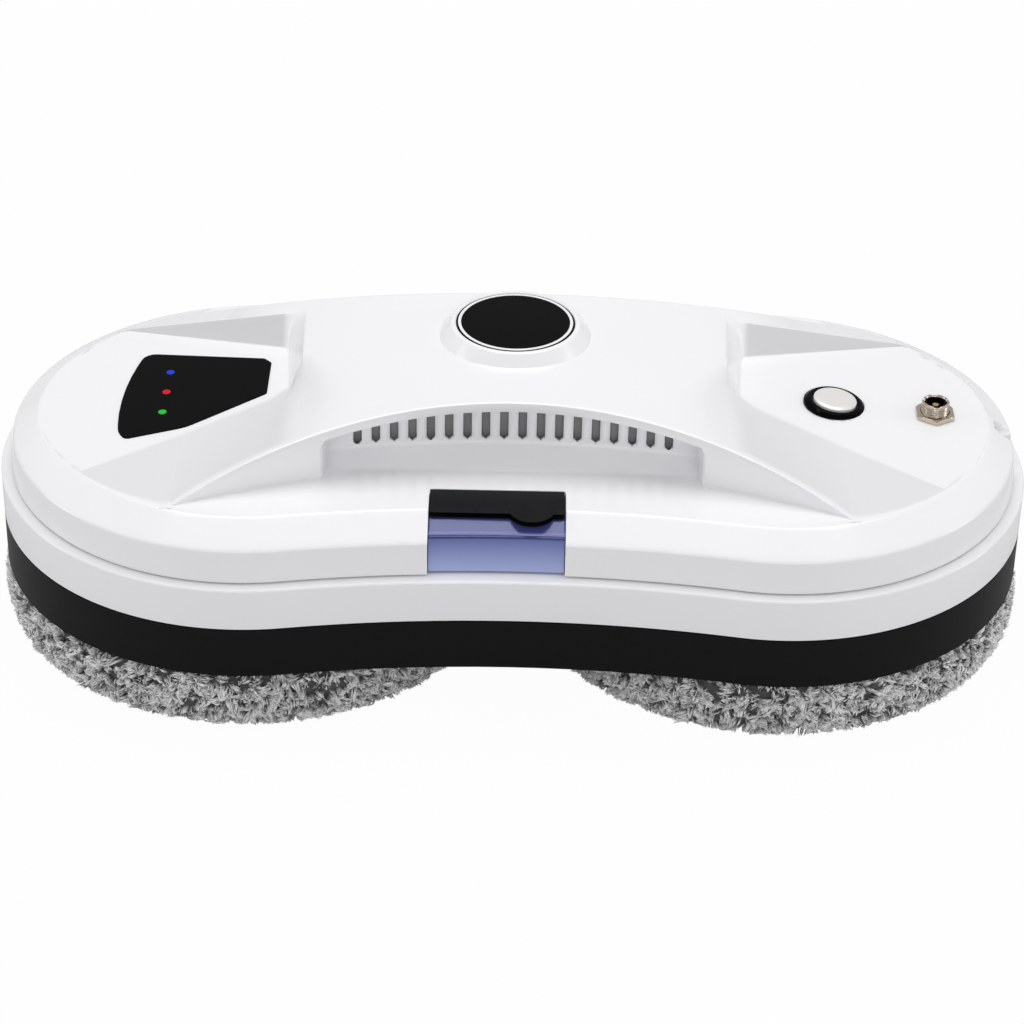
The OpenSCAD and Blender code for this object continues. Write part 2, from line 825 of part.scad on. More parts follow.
// The tank's outer form, with every wall set in by t
module tank_form(t) {
    intersection() {
        tank_block(step_z + seat_gap + t, tank_top_z - t, tank_y + tank_gap + t, waist_half, tank_gap + t);
        union() {
            tier(step_z, shoulder_z, step_in + t, shoulder_in + t);
            tier(shoulder_z, rim_z, shoulder_in + t, rim_in + t);
        }
    }
    tank_block(tank_z + t, tank_top_z - t - tank_wall, tank_y + tank_gap + t, tank_front_y - t,
        tank_gap + t);
}

module water_tank() {
    color("slateblue") difference() {
        union() {
            tank_form(0);
            for (x = [tank_x0 + tank_gap, tank_x1 - tank_gap - ear_w]) {
                translate([x, -hinge_y, hinge_z()]) rotate([0, 90, 0]) cylinder(r = knuckle_r, h = ear_w);
                translate([x, -hinge_y - knuckle_r, tank_top_z - tank_wall])
                    cube([ear_w, 2 * knuckle_r, hinge_z() - tank_top_z + tank_wall]);
            }
        }
        tank_form(tank_wall);
        tank_block(tank_top_z - 2 * tank_wall, rim_z, hinge_y + mouth_in / 2, lid_y - mouth_in, mouth_in);
        translate([tank_x0, -hinge_y, hinge_z()]) rotate([0, 90, 0])
            cylinder(r = hinge_pin_r + snug_gap, h = tank_x1 - tank_x0);
        translate([tank_x1 - tank_wall - 2 * tank_gap, tank_tube_y, tank_tube_z]) rotate([0, 90, 0])
            cylinder(r = hose_r / 2, h = tank_wall + 2 * tank_gap);
    }
}

function hinge_z() = tank_top_z + seat_gap + knuckle_r;

module tank_lid() {
    lid_x0 = tank_x0 + tank_gap + ear_w + tank_gap;
    lid_x1 = tank_x1 - tank_gap - ear_w - tank_gap;
    lid_z = hinge_z() + knuckle_r - lid_t;
    color("black") difference() {
        union() {
            translate([lid_x0, -lid_y, lid_z]) cube([lid_x1 - lid_x0, lid_y - hinge_y, lid_t]);
            translate([tank_x0 + tank_gap, -lid_y, lid_z])
                cube([tank_x1 - tank_x0 - 2 * tank_gap, lid_y - hinge_y - knuckle_r - tank_gap, lid_t]);
            translate([tab_x, -tab_y, lid_z]) cylinder(r = tab_r, h = lid_t);
            translate([lid_x0, -hinge_y, hinge_z()]) rotate([0, 90, 0])
                cylinder(r = knuckle_r, h = lid_x1 - lid_x0);
        }
        translate([tank_x0, -hinge_y, hinge_z()]) rotate([0, 90, 0])
            cylinder(r = hinge_pin_r + run_gap, h = tank_x1 - tank_x0);
    }
}

module lid_gasket() {
    lid_z = hinge_z() + knuckle_r - lid_t;
    color("gray") difference() {
        tank_block(lid_z - gasket_t, lid_z, hinge_y + mouth_in / 2 + seat_gap,
            lid_y - mouth_in - seat_gap, mouth_in + seat_gap);
        tank_block(lid_z - gasket_t - overrun, lid_z + overrun, hinge_y + mouth_in / 2 + gasket_w,
            lid_y - mouth_in - gasket_w, mouth_in + gasket_w);
    }
}

module lid_hinge_pin() {
    color("silver") translate([tank_x0 + tank_gap, -hinge_y, hinge_z()]) rotate([0, 90, 0])
        cylinder(r = hinge_pin_r, h = tank_x1 - tank_x0 - 2 * tank_gap);
}

module nozzle() {
    color("gray") translate([0, 0, nozzle_z]) rotate([0, 90, 0]) difference() {
        union() {
            translate([0, 0, nozzle_x0]) cylinder(r = nozzle_r, h = nozzle_x1 - nozzle_x0);
            translate([0, 0, nozzle_disc_x]) cylinder(r = nozzle_disc_r, h = nozzle_disc_t);
        }
        translate([0, 0, nozzle_x0 - overrun])
            cylinder(r = orifice_r, h = nozzle_x1 - nozzle_x0 + 2 * overrun);
    }
}

module water_pump() {
    color("dimgray") {
        translate([pump_place[0] - pump_size[0] / 2, pump_place[1] - pump_size[1] / 2, pump_z])
            cube(pump_size);
        translate([pump_place[0], pump_place[1], pump_z])
            cylinder(r = pump_head_r, h = pump_size[2] + pump_head_h / 4);
    }
}

module tank_tube() {
    x0 = tank_x1 - tank_gap;
    color("lightgray") translate([x0, tank_tube_y, tank_tube_z]) rotate([0, 90, 0]) difference() {
        cylinder(r = hose_r, h = pump_place[0] - pump_size[0] / 2 - x0);
        translate([0, 0, -overrun]) cylinder(r = hose_r / 2, h = pump_place[0]);
    }
}

// Sweeps a round tube along points, with its rings held upright or square to the run
module sweep(points, r) {
    n = len(points);
    ring_sides = 8;
    dirs = [for (i = [0:n - 1]) let (d = points[min(i + 1, n - 1)] - points[max(i - 1, 0)]) d / norm(d)];
    rings = [for (i = [0:n - 1]) let (
        across = cross(dirs[i], [0, 0, 1]), a = across / norm(across), b = cross(a, dirs[i])
    ) each [for (k = [0:ring_sides - 1]) let (w = 360 * k / ring_sides) points[i] + r * (a * cos(w) + b * sin(w))]];
    skin = [for (i = [0:n - 2]) for (k = [0:ring_sides - 1]) let (
        p = i * ring_sides + k, q = i * ring_sides + (k + 1) % ring_sides
    ) each [[p, p + ring_sides, q], [q, p + ring_sides, q + ring_sides]]];
    start = [for (k = [0:ring_sides - 1]) k];
    finish = [for (k = [ring_sides - 1:-1:0]) (n - 1) * ring_sides + k];
    polyhedron(points = rings, faces = concat(skin, [start, finish]));
}

// Points of the hose from the pump round the right end of the body
function hose_run() = let (
    x0 = pump_place[0] + pump_size[0] / 2,
    bends = 9
) concat(
    [[x0, hose_back_y, hose_z], [x0 + 2 * hose_r, hose_back_y, hose_z]],
    [for (i = [0:bends]) let (w = -105 + 100 * i / bends) [
        lobe_x + hose_lobe_r * cos(w), hose_lobe_r * sin(w), hose_z
    ]]
);

module hose() {
    color("lightgray") sweep(concat(hose_run(), [
        [nozzle_x0 - 2 * hose_r, -hose_r, hose_z + hose_r],
        [nozzle_x0 - 1.5 * hose_r, 0, nozzle_z - 1.5 * hose_r],
        [nozzle_x0 - hose_r, 0, nozzle_z],
        [nozzle_x0, 0, nozzle_z]
    ]), hose_r);
}

module duct_plan(t) {
    for (side = sides) translate([side * lobe_x, 0]) circle(r = duct_end_r - t);
    square([2 * lobe_x, 2 * (duct_half - t)], center = true);
}

module air_duct() {
    foot = recess_z + recess_wall;
    color("gray") {
        difference() {
            translate([0, 0, foot]) linear_extrude(duct_z1 - foot) duct_plan(0);
            translate([0, 0, foot + duct_wall])
                linear_extrude(duct_z1 - foot - 2 * duct_wall) duct_plan(duct_wall);
            for (side = sides) translate([side * lobe_x, 0, foot - overrun])
                cylinder(r = neck_r, h = duct_wall + 2 * overrun);
            translate([0, 0, foot + duct_wall]) cylinder(r = inlet_r, h = duct_z1);
        }
        for (dx = sides) for (dy = sides) translate([
            board_x + dx * (board_size[0] / 2 - board_post_in), dy * (duct_half - board_post_in), duct_z1
        ]) cylinder(r = board_post_r, h = board_lift);
    }
}

module fan_gasket() {
    color("black") translate([0, 0, duct_z1]) difference() {
        cylinder(r = gasket_r, h = fan_z0 - duct_z1);
        translate([0, 0, -overrun]) cylinder(r = inlet_r + run_gap, h = fan_z0);
    }
}

module fan_housing() {
    color("darkgray") difference() {
        translate([0, 0, fan_z0]) cylinder(r = fan_r, h = fan_z1 - fan_z0);
        translate([0, 0, fan_z0 + fan_wall])
            cylinder(r = fan_r - fan_wall, h = fan_z1 - fan_z0 - 2 * fan_wall);
        translate([0, 0, fan_z0 - overrun]) cylinder(r = inlet_r, h = 2 * fan_wall + overrun);
        translate([0, 0, fan_z1 - 2 * fan_wall]) cylinder(r = fan_shaft_hole, h = 3 * fan_wall);
        for (i = [1:fan_slot_pairs]) rotate([0, 0, i * 180 / fan_slot_pairs])
            translate([-fan_r - overrun, -fan_slot_w / 2, (fan_z0 + fan_z1 - fan_slot_h) / 2])
                cube([2 * fan_r + 2 * overrun, fan_slot_w, fan_slot_h]);
    }
}

module fan_impeller() {
    color("white") {
        for (i = [0:blade_count - 1]) rotate([0, 0, i * 360 / blade_count]) intersection() {
            translate([blade_r0, 0, blade_z0])
                rotate([0, 0, -blade_lean]) translate([-2 * overrun, -blade_t / 2, 0])
                cube([impeller_r, blade_t, plate_z0 - blade_z0 + fan_wall / 2]);
            translate([0, 0, blade_z0]) cylinder(r = impeller_r - blade_t, h = fan_z1 - blade_z0);
        }
        translate([0, 0, plate_z0]) cylinder(r = impeller_r, h = fan_wall);
        translate([0, 0, blade_z0 + blade_t]) cylinder(r = blade_r0, h = plate_z0 - blade_z0);
        translate([0, 0, plate_z0]) cylinder(r = fan_shaft_r, h = fan_shaft_top - plate_z0);
    }
}

module fan_motor() {
    color("silver") difference() {
        translate([0, 0, fan_z1]) cylinder(r = fan_motor_r, h = fan_motor_top - fan_z1);
        translate([0, 0, fan_z1 - overrun])
            cylinder(r = fan_shaft_r + run_gap, h = fan_shaft_top - fan_z1 + 2 * overrun);
    }
}

module battery_pack() {
    color("royalblue") translate([battery_x - battery_size[0] / 2, -battery_size[1] / 2, duct_z1])
        cube(battery_size);
}

module main_board() {
    top = duct_z1 + board_lift + board_size[2];
    color("green") {
        translate([board_x - board_size[0] / 2, -board_size[1] / 2, duct_z1 + board_lift]) cube(board_size);
        for (i = [0:len(chip_size_shares) - 1]) {
            chip = [for (k = [0:2]) chip_size_shares[i][k] * board_size[k]];
            place = [for (k = [0:1]) chip_place_shares[i][k] * board_size[k] - chip[k] / 2];
            translate([board_x + place[0], place[1], top]) cube(chip);
        }
    }
}

module case_screws() {
    color("silver") for (p = screw_places()) translate([p[0], p[1], base_z]) {
        cylinder(r = screw_head_r, h = screw_head_t);
        cylinder(r = screw_r, h = screw_top_z - base_z);
    }
}

module retainer_screws() {
    foot = catch_z - retainer_gap - retainer_t;
    color("silver") for (side = sides) for (i = [0:retainer_screw_count - 1])
        translate([side * lobe_x, 0, foot]) rotate([0, 0, i * 360 / retainer_screw_count])
            translate([neck_r + neck_wall / 2, 0, 0]) {
                translate([0, 0, -retainer_head_t]) cylinder(r = retainer_head_r, h = retainer_head_t);
                cylinder(r = retainer_screw_r, h = retainer_screw_top - foot - seat_gap);
            }
}

module wheel(side) {
    color("darkslategray") translate([side * lobe_x, 0, 0]) rotate_extrude() polygon([
        [cup_in_r, plate_z], [wheel_r, plate_z], [wheel_r, wheel_rim_z], [wheel_r - rim_t, wheel_rim_z],
        [wheel_r - rim_t, plate_z + plate_t], [drum_out_r, plate_z + plate_t], [drum_out_r, drum_z],
        [gear_seat_r, drum_z], [gear_seat_r, drum_top_z], [drum_r, drum_top_z],
            [drum_r, catch_z], [cup_in_r, catch_z]
    ]);
}

module wheel_left() { wheel(-1); }
module wheel_right() { wheel(1); }

// Corner points of one gear tooth at angle w, as radius and angle
function tooth(teeth, w) = let (p = 360 / teeth, r = teeth * gear_module / 2,
    root_share = 0.3, tip_share = 0.1) [
    [r - 1.25 * gear_module, w - root_share * p], [r + gear_module, w - tip_share * p],
    [r + gear_module, w + tip_share * p], [r - 1.25 * gear_module, w + root_share * p]
];

module gear_plan(teeth) {
    polygon([for (i = [0:teeth - 1])
        for (q = tooth(teeth, i * 360 / teeth)) [q[0] * cos(q[1]), q[0] * sin(q[1])]]);
}

function mesh_angle(side) = side < 0 ? pinion_turn : 180 - pinion_turn;

module wheel_gear(side) {
    color("ivory") translate([side * lobe_x, 0, gear_z0]) rotate([0, 0, mesh_angle(side)])
        linear_extrude(gear_z1 - gear_z0)
        difference() {
            gear_plan(wheel_teeth);
            circle(r = gear_seat_r + snug_gap);
        }
}

module wheel_gear_left() { wheel_gear(-1); }
module wheel_gear_right() { wheel_gear(1); }

module wheel_bush(side) {
    color("orange") translate([side * lobe_x, 0, catch_z + snug_gap]) difference() {
        cylinder(r = drum_r, h = drum_top_z - catch_z - bush_inset);
        translate([0, 0, -overrun]) cylinder(r = neck_r + neck_wall + run_gap, h = drum_top_z);
    }
}

module wheel_bush_left() { wheel_bush(-1); }
module wheel_bush_right() { wheel_bush(1); }

module wheel_retainer(side) {
    color("gray") difference() {
        translate([side * lobe_x, 0, catch_z - retainer_gap - retainer_t])
            cylinder(r = retainer_r, h = retainer_t);
        translate([side * lobe_x, 0, 0]) cylinder(r = neck_r, h = ring_z);
        retainer_screw_holes(side);
    }
}

module wheel_retainer_left() { wheel_retainer(-1); }
module wheel_retainer_right() { wheel_retainer(1); }

module hook_ring(side) {
    color("dimgray") translate([side * lobe_x, 0, pad_t]) difference() {
        cylinder(r = hook_r1, h = plate_z - pad_t);
        translate([0, 0, -overrun]) cylinder(r = hook_r0, h = plate_z);
    }
}

module hook_ring_left() { hook_ring(-1); }
module hook_ring_right() { hook_ring(1); }

// Outer side of a pad: two quarter ellipses that meet at its widest height
function pad_side() = let (n = 6, sole = pad_r - pad_sole_r,
    hem = pad_r - pad_hem_r - (pad_r - pad_sole_r)) concat(
    [for (i = [0:n]) let (w = 90 * i / n) [pad_sole_r + sole * sin(w), pad_bulge_z * (1 - cos(w))]],
    [for (i = [1:n]) let (w = 90 * i / n) [pad_r - hem * (1 - cos(w)),
        pad_bulge_z + (pad_top_z - pad_bulge_z) * sin(w)]]
);

module pad(side) {
    color("gray") translate([side * lobe_x, 0, 0]) rotate_extrude() polygon(concat(
        [[pad_hole_r, 0]], pad_side(),
        [[pad_hem_r, pad_top_z], [pad_hem_r, pad_hem_z], [pad_side_r, pad_hem_z],
            [pad_side_r, pad_t], [pad_hole_r, pad_t]]
    ));
}

module pad_left() { pad(-1); }
module pad_right() { pad(1); }

module pinion(side) {
    color("ivory") translate([pinion_place(side)[0], pinion_place(side)[1], 0]) {
        translate([0, 0, gear_z0]) rotate([0, 0, mesh_angle(side) + 180 + 180 / pinion_teeth])
            linear_extrude(gear_z1 - gear_z0) gear_plan(pinion_teeth);
        translate([0, 0, gear_z0]) cylinder(r = pinion_shaft_r, h = shaft_top_z - gear_z0);
    }
}

module pinion_left() { pinion(-1); }
module pinion_right() { pinion(1); }

module gearbox(side) {
    color("darkgray") translate([pinion_place(side)[0], pinion_place(side)[1],
        recess_z + recess_wall]) difference() {
        cylinder(r = gearbox_r, h = gearbox_top_z - recess_z - recess_wall);
        translate([0, 0, -overrun])
            cylinder(r = pinion_shaft_r + run_gap, h = shaft_top_z - recess_z - recess_wall + 2 * overrun);
    }
}

module gearbox_left() { gearbox(-1); }
module gearbox_right() { gearbox(1); }

module drive_motor(side) {
    color("silver") translate([pinion_place(side)[0], pinion_place(side)[1], gearbox_top_z])
        cylinder(r = motor_r, h = motor_top_z - gearbox_top_z);
}

module drive_motor_left() { drive_motor(-1); }
module drive_motor_right() { drive_motor(1); }

top_cover();
middle_ring();
base_shell();
badge_boss();
badge_disc();
badge_ring();
indicator_lens();
led_blue();
led_red();
led_green();
led_board();
button_housing();
power_button();
button_switch();
dc_jack();
jack_nut();
jack_insulator();
jack_pin();
water_tank();
tank_lid();
lid_gasket();
lid_hinge_pin();
nozzle();
water_pump();
tank_tube();
hose();
air_duct();
fan_gasket();
fan_housing();
fan_impeller();
fan_motor();
battery_pack();
main_board();
case_screws();
retainer_screws();
wheel_left();
wheel_right();
wheel_gear_left();
wheel_gear_right();
wheel_bush_left();
wheel_bush_right();
wheel_retainer_left();
wheel_retainer_right();
hook_ring_left();
hook_ring_right();
pad_left();
pad_right();
pinion_left();
pinion_right();
gearbox_left();
gearbox_right();
drive_motor_left();
drive_motor_right();
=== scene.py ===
# %% [markdown]
# # A window cleaning robot
# The robot is a peanut shaped white case on two fluffy turning pads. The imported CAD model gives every
# piece its place. This lesson dresses it: the case, badge, lens, button, inlet, tank and pads are made
# again as finer surfaces, and the inner pieces keep their CAD shape with a better finish.
# Lengths below are in millimetres and are turned into metres when a mesh is made.

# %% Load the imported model
import math

import bmesh
import bpy
import numpy as np
from mathutils import Matrix, Vector


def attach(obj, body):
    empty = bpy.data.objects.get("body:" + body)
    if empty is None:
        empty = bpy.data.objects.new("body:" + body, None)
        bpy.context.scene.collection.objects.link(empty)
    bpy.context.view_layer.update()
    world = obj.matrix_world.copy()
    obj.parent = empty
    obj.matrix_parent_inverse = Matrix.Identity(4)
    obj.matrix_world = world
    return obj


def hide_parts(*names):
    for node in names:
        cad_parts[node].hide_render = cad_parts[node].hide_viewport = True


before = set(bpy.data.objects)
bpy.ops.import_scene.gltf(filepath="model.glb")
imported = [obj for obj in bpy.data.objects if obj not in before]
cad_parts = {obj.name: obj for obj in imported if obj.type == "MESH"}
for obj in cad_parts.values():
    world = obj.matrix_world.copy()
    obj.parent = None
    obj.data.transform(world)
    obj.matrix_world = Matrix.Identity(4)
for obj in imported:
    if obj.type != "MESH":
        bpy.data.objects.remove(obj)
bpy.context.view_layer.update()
MM = 0.001

# %% [markdown]
# ## Tools for surfaces
# Each new shape is a grid of points: a profile that is carried along a path or turned round an axis. Boxes
# and booleans could make the case too, but a grid keeps its long faces smooth and lets a wall become a
# hollow. Points that fall together are merged, and only edges sharper than a chosen angle stay sharp.

# %% Make a mesh from a grid of points
SAME_PLACE, NO_LENGTH = 2e-6, 1e-6  # metres: nearer points are merged, shorter edges are removed


def quads(index):
    """Four sided faces: each point, the next along the row, and the two beside them in the next row."""
    return np.stack([index[:-1, :-1], index[:-1, 1:], index[1:, 1:], index[1:, :-1]], -1)


def grid_faces(rows, cols, loop_rows=False, loop_cols=False):
    """The faces of a whole grid; a loop joins its last row or column to the first."""
    index = np.arange(rows * cols).reshape(rows, cols)
    index = np.concatenate([index, index[:loop_rows]])
    return quads(np.concatenate([index, index[:, :loop_cols]], 1)).reshape(-1, 4)


def in_scene(name, data):
    """A new object at the origin for this mesh, lamp or camera."""
    thing = bpy.data.objects.new(name, data)
    bpy.context.scene.collection.objects.link(thing)
    return thing


def number_per_point(mesh, name, values):
    """Gives each point of a mesh one number that a material can read."""
    mesh.attributes.new(name, "FLOAT", "POINT").data.foreach_set("value", values.astype(np.float32))


def make_piece(name, points, faces, body, material, replaces=(), outward=True, sharp=38, tone=None):
    """An object from points in millimetres. Doubled points are merged before normals are set."""
    mesh = bpy.data.meshes.new(name)
    mesh.from_pydata((np.asarray(points).reshape(-1, 3) * MM).tolist(), [], np.asarray(faces).tolist())
    # A tone is a number on each point; on the cover it is a painted shade mask.
    if tone is not None:
        number_per_point(mesh, "tone", tone)
    bm = bmesh.new()
    bm.from_mesh(mesh)
    bmesh.ops.remove_doubles(bm, verts=bm.verts, dist=SAME_PLACE)
    bmesh.ops.dissolve_degenerate(bm, edges=bm.edges, dist=NO_LENGTH)
    if outward:
        bmesh.ops.recalc_face_normals(bm, faces=bm.faces)
    bm.to_mesh(mesh)
    bm.free()
    mesh.shade_smooth()
    mesh.set_sharp_from_angle(angle=math.radians(sharp))
    mesh.materials.append(material)
    piece = in_scene(name, mesh)
    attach(piece, body)
    if replaces:
        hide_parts(*replaces)
    print(name, len(mesh.polygons), "faces")
    return piece


# %% [markdown]
# Moulded edges are never knife sharp. A small arc at each corner of a profile catches the light as the real
# edge does, and no bevel has to be added to the mesh.


# %% Round the corners of a profile
def rounded(corners, radii, steps=4, closed=False):
    """A line through corners, where each corner is swapped for an arc of its radius, cut to half of its sides."""
    corners = np.asarray(corners, float)
    out = []
    for i, (corner, radius) in enumerate(zip(corners, radii)):
        if radius <= 0 or (not closed and i in (0, len(corners) - 1)):
            out.append(corner[None])
            continue
        before, after = corners[i - 1] - corner, corners[(i + 1) % len(corners)] - corner
        reach = 0.49 * min(np.linalg.norm(before), np.linalg.norm(after))
        before, after = before / np.linalg.norm(before), after / np.linalg.norm(after)
        half = math.acos(np.clip(before @ after, -1, 1)) / 2
        cut = min(radius / math.tan(half), reach)
        middle = corner + (before + after) / np.linalg.norm(before + after) * cut / math.cos(half)
        start, end = corner + before * cut - middle, corner + after * cut - middle
        size = np.linalg.norm(start)
        t = np.linspace(0, 1, steps + 1)[:, None]
        arc = start * (1 - t) + end * t
        out.append(middle + arc / np.linalg.norm(arc, axis=1)[:, None] * size)
    return np.concatenate(out)


# %% [markdown]
# The badge, button, lights and pads are round. A profile of radius and height, turned round an axis, gives
# them, and the axis may lean with the panel it stands on.

# %% Turn a profile round an upright or leaning axis
def angles(around):
    """Even steps round a full turn."""
    return np.arange(around) * 2 * math.pi / around


def turned(profile, centre, around=96, lean=0.0):
    """Points of a lathe shape: the profile's radius and height at each angle, leaned about Y, moved to centre."""
    w = angles(around)
    r, z = np.asarray(profile, float).T
    x, y = r[:, None] * np.cos(w), r[:, None] * np.sin(w)
    z = np.broadcast_to(z[:, None], x.shape)
    leaned = np.stack([x * math.cos(lean) + z * math.sin(lean), y, z * math.cos(lean) - x * math.sin(lean)], -1)
    return leaned + np.asarray(centre, float)


def lathe(name, profile, centre, body, material, replaces=(), around=96, lean=0.0, sharp=38):
    """A turned profile whose ends on the axis close it."""
    points = turned(profile, centre, around, lean)
    return make_piece(name, points, grid_faces(len(profile), around, loop_cols=True), body, material,
                      replaces, True, sharp)


# %% [markdown]
# ## Finishes
# A moulded plastic has a very faint grain and a gloss that changes from place to place. One node group
# makes both from the piece's own coordinates. It gives a colour, a roughness and a height, and the shader
# stays in the material.

# %% Short ways to add nodes
def feed(tree, *pairs):
    """Gives each input of a pair its number or colour, or links another node's output to it."""
    for socket, value in pairs:
        if isinstance(value, bpy.types.NodeSocket):
            tree.links.new(value, socket)
        else:
            socket.default_value = value


def maths(tree, operation, *values):
    """The result of a Math node with these inputs."""
    node = tree.nodes.new("ShaderNodeMath")
    node.operation = operation
    feed(tree, *zip(node.inputs, values))
    return node.outputs[0]


def scaled(tree, colour, factor):
    """A colour times a factor."""
    node = tree.nodes.new("ShaderNodeVectorMath")
    node.operation = "SCALE"
    feed(tree, (node.inputs[0], colour), (node.inputs["Scale"], factor))
    return node.outputs[0]


def noise(tree, scale, detail=2.0):
    """Noise on the piece's own coordinates."""
    place, node = tree.nodes.new("ShaderNodeTexCoord"), tree.nodes.new("ShaderNodeTexNoise")
    feed(tree, (node.inputs["Vector"], place.outputs["Object"]), (node.inputs["Scale"], scale),
         (node.inputs["Detail"], detail))
    return node.outputs["Fac"]


# %% The shared grain group
def grain_group():
    """Soft noise less a half, times the mottle, varies colour and roughness; fine noise is the height."""
    group = bpy.data.node_groups.new("moulded_grain", "ShaderNodeTree")
    for label, kind, value in (("Color", "NodeSocketColor", (0.8, 0.8, 0.8, 1)), ("Roughness", "NodeSocketFloat", 0.4),
                               ("Fine Scale", "NodeSocketFloat", 2500.0), ("Mottle", "NodeSocketFloat", 0.03)):
        group.interface.new_socket(label, in_out="INPUT", socket_type=kind).default_value = value
    for label, kind in (("Color", "NodeSocketColor"), ("Roughness", "NodeSocketFloat"), ("Height", "NodeSocketFloat")):
        group.interface.new_socket(label, in_out="OUTPUT", socket_type=kind)
    given, result = group.nodes.new("NodeGroupInput"), group.nodes.new("NodeGroupOutput")
    soft = maths(group, "SUBTRACT", noise(group, 55.0, 3.0), 0.5)
    amount = maths(group, "MULTIPLY", soft, given.outputs["Mottle"])
    colour = scaled(group, given.outputs["Color"], maths(group, "ADD", amount, 1.0))
    rough = maths(group, "MULTIPLY_ADD", amount, 2.0, given.outputs["Roughness"])
    fine = noise(group, given.outputs["Fine Scale"])
    feed(group, *zip(result.inputs, (colour, rough, fine)))
    return group


GRAIN = grain_group()
print("node group:", GRAIN.name)

# %% [markdown]
# Every hard piece takes its finish from one function: white gloss plastic with a thin clear coat, satin
# black, deep gloss black, silver, nickel and the coloured lights. A low specular level keeps the blacks
# black under a white studio. The cover also has a tone mask of painted shade, which darkens its slanted
# walls and the straps in front of its panels, where they lie in more shade.

# %% A moulded or plated finish from the group
def new_material(name, **sockets):
    """A material whose Principled shader has these sockets set; an underscore stands for a space."""
    material = bpy.data.materials.new(name)
    material.use_nodes = True
    tree = material.node_tree
    shader = tree.nodes["Principled BSDF"]
    for label, value in sockets.items():
        shader.inputs[label.replace("_", " ")].default_value = value
    return material, tree, shader


def relief(tree, height, strength, distance):
    """Raises the surface of the Principled shader by a height; the distance is in metres."""
    bump = tree.nodes.new("ShaderNodeBump")
    feed(tree, (bump.inputs["Height"], height), (bump.inputs["Strength"], strength),
         (bump.inputs["Distance"], distance), (tree.nodes["Principled BSDF"].inputs["Normal"], bump.outputs["Normal"]))


def finish(name, colour, roughness, metallic=0.0, coat=0.0, fine=2500.0, mottle=0.03, bump=0.04, glow=0.0, shine=0.5):
    """A Principled material whose colour, roughness and bump come from the grain group."""
    material, tree, shader = new_material(name, Metallic=metallic, Coat_Weight=coat, Coat_Roughness=0.05,
                                          Specular_IOR_Level=shine)
    grain = tree.nodes.new("ShaderNodeGroup")
    grain.node_tree = GRAIN
    feed(tree, *zip(grain.inputs, ((*colour, 1), roughness, fine, mottle)),
         (shader.inputs["Base Color"], grain.outputs["Color"]),
         (shader.inputs["Roughness"], grain.outputs["Roughness"]))
    relief(tree, grain.outputs["Height"], bump, 0.0002)
    if glow:
        feed(tree, (shader.inputs["Emission Color"], grain.outputs["Color"]),
             (shader.inputs["Emission Strength"], glow))
    return material


def with_painted_shade(material, depth):
    """Painted shade: darkens the grain's colour by depth where the mesh's tone is 1: colour times one less depth times
    tone.
    """
    tree = material.node_tree
    base = tree.nodes["Principled BSDF"].inputs["Base Color"]
    mask = tree.nodes.new("ShaderNodeAttribute")
    mask.attribute_name = "tone"
    factor = maths(tree, "MULTIPLY_ADD", mask.outputs["Fac"], -depth, 1.0)
    feed(tree, (base, scaled(tree, base.links[0].from_socket, factor)))
    return material


def gloss_white(name):
    """The case's white plastic."""
    return finish(name, (0.93, 0.925, 0.945), 0.24, coat=0.35, mottle=0.012, bump=0.02)


# %% The finishes of the outer pieces
WHITE = gloss_white("white_moulding")
# The cover's white is darkened by painted shade where its tone mask is 1.
COVER_PAINTED_SHADE_WHITE = with_painted_shade(gloss_white("cover_white_painted_shade"), 0.25)
BLACK = finish("black_moulding", (0.006, 0.006, 0.0065), 0.5, fine=1800, bump=0.12, shine=0.1)
GLOSS = finish("black_gloss", (0.0015, 0.0015, 0.002), 0.08, mottle=0.02, bump=0.0, shine=0.045)
LID = finish("black_lid", (0.01, 0.01, 0.011), 0.34, fine=1800, bump=0.1, shine=0.06)
# Painted shade: the baffle's grey stands for the shaded inside seen through the vents.
BAFFLE_PAINTED_SHADE = finish("baffle_painted_shade", (0.32, 0.32, 0.325), 0.6)
SILVER = finish("silver_cap", (0.86, 0.84, 0.82), 0.32, metallic=0.25, fine=1200, bump=0.05)
NICKEL = finish("nickel_plate", (0.60, 0.53, 0.44), 0.14, metallic=1.0, mottle=0.2, bump=0.06)
BLUE_LIGHT, RED_LIGHT, GREEN_LIGHT = (
    finish(name, colour, 0.4, glow=0.2, shine=0.1)
    for name, colour in (("blue_light", (0.01, 0.04, 0.55)), ("red_light", (0.58, 0.005, 0.015)),
                         ("green_light", (0.015, 0.45, 0.02))))
print("materials:", len(bpy.data.materials))

# %% [markdown]
# ## Measures of the body
# These repeat the CAD source. The outline is two round ends joined by two hollow arcs. An inset of the
# outline keeps the same centres, so each facet of the case is the same outline at another inset and height.

# %% Measures and outline
LOBE_X, LOBE_R, WAIST_HALF = 75.0, 72.4, 65.65
WAIST_R = (LOBE_X ** 2 + WAIST_HALF ** 2 - LOBE_R ** 2) / (2 * (LOBE_R - WAIST_HALF))
WAIST_Y = WAIST_HALF + WAIST_R
RING_Z, STEP_Z, SHOULDER_Z, RIM_Z, CROWN_Z = 33.5, 46.5, 56.5, 61.8, 83.0
STEP_IN, SHOULDER_IN, RIM_IN = 3.2, 4.0, 13.4
ARCH_R, EDGE_R, CROWN_HALF = 214.0, 200.0, 31.5
PANEL_X, PANEL_SLOPE = 119.0, 0.05
MEET = LOBE_X / math.hypot(LOBE_X, WAIST_Y)  # sine of the angle where arc and round end meet
STRAIGHT_X = 26  # columns this near the middle keep their x


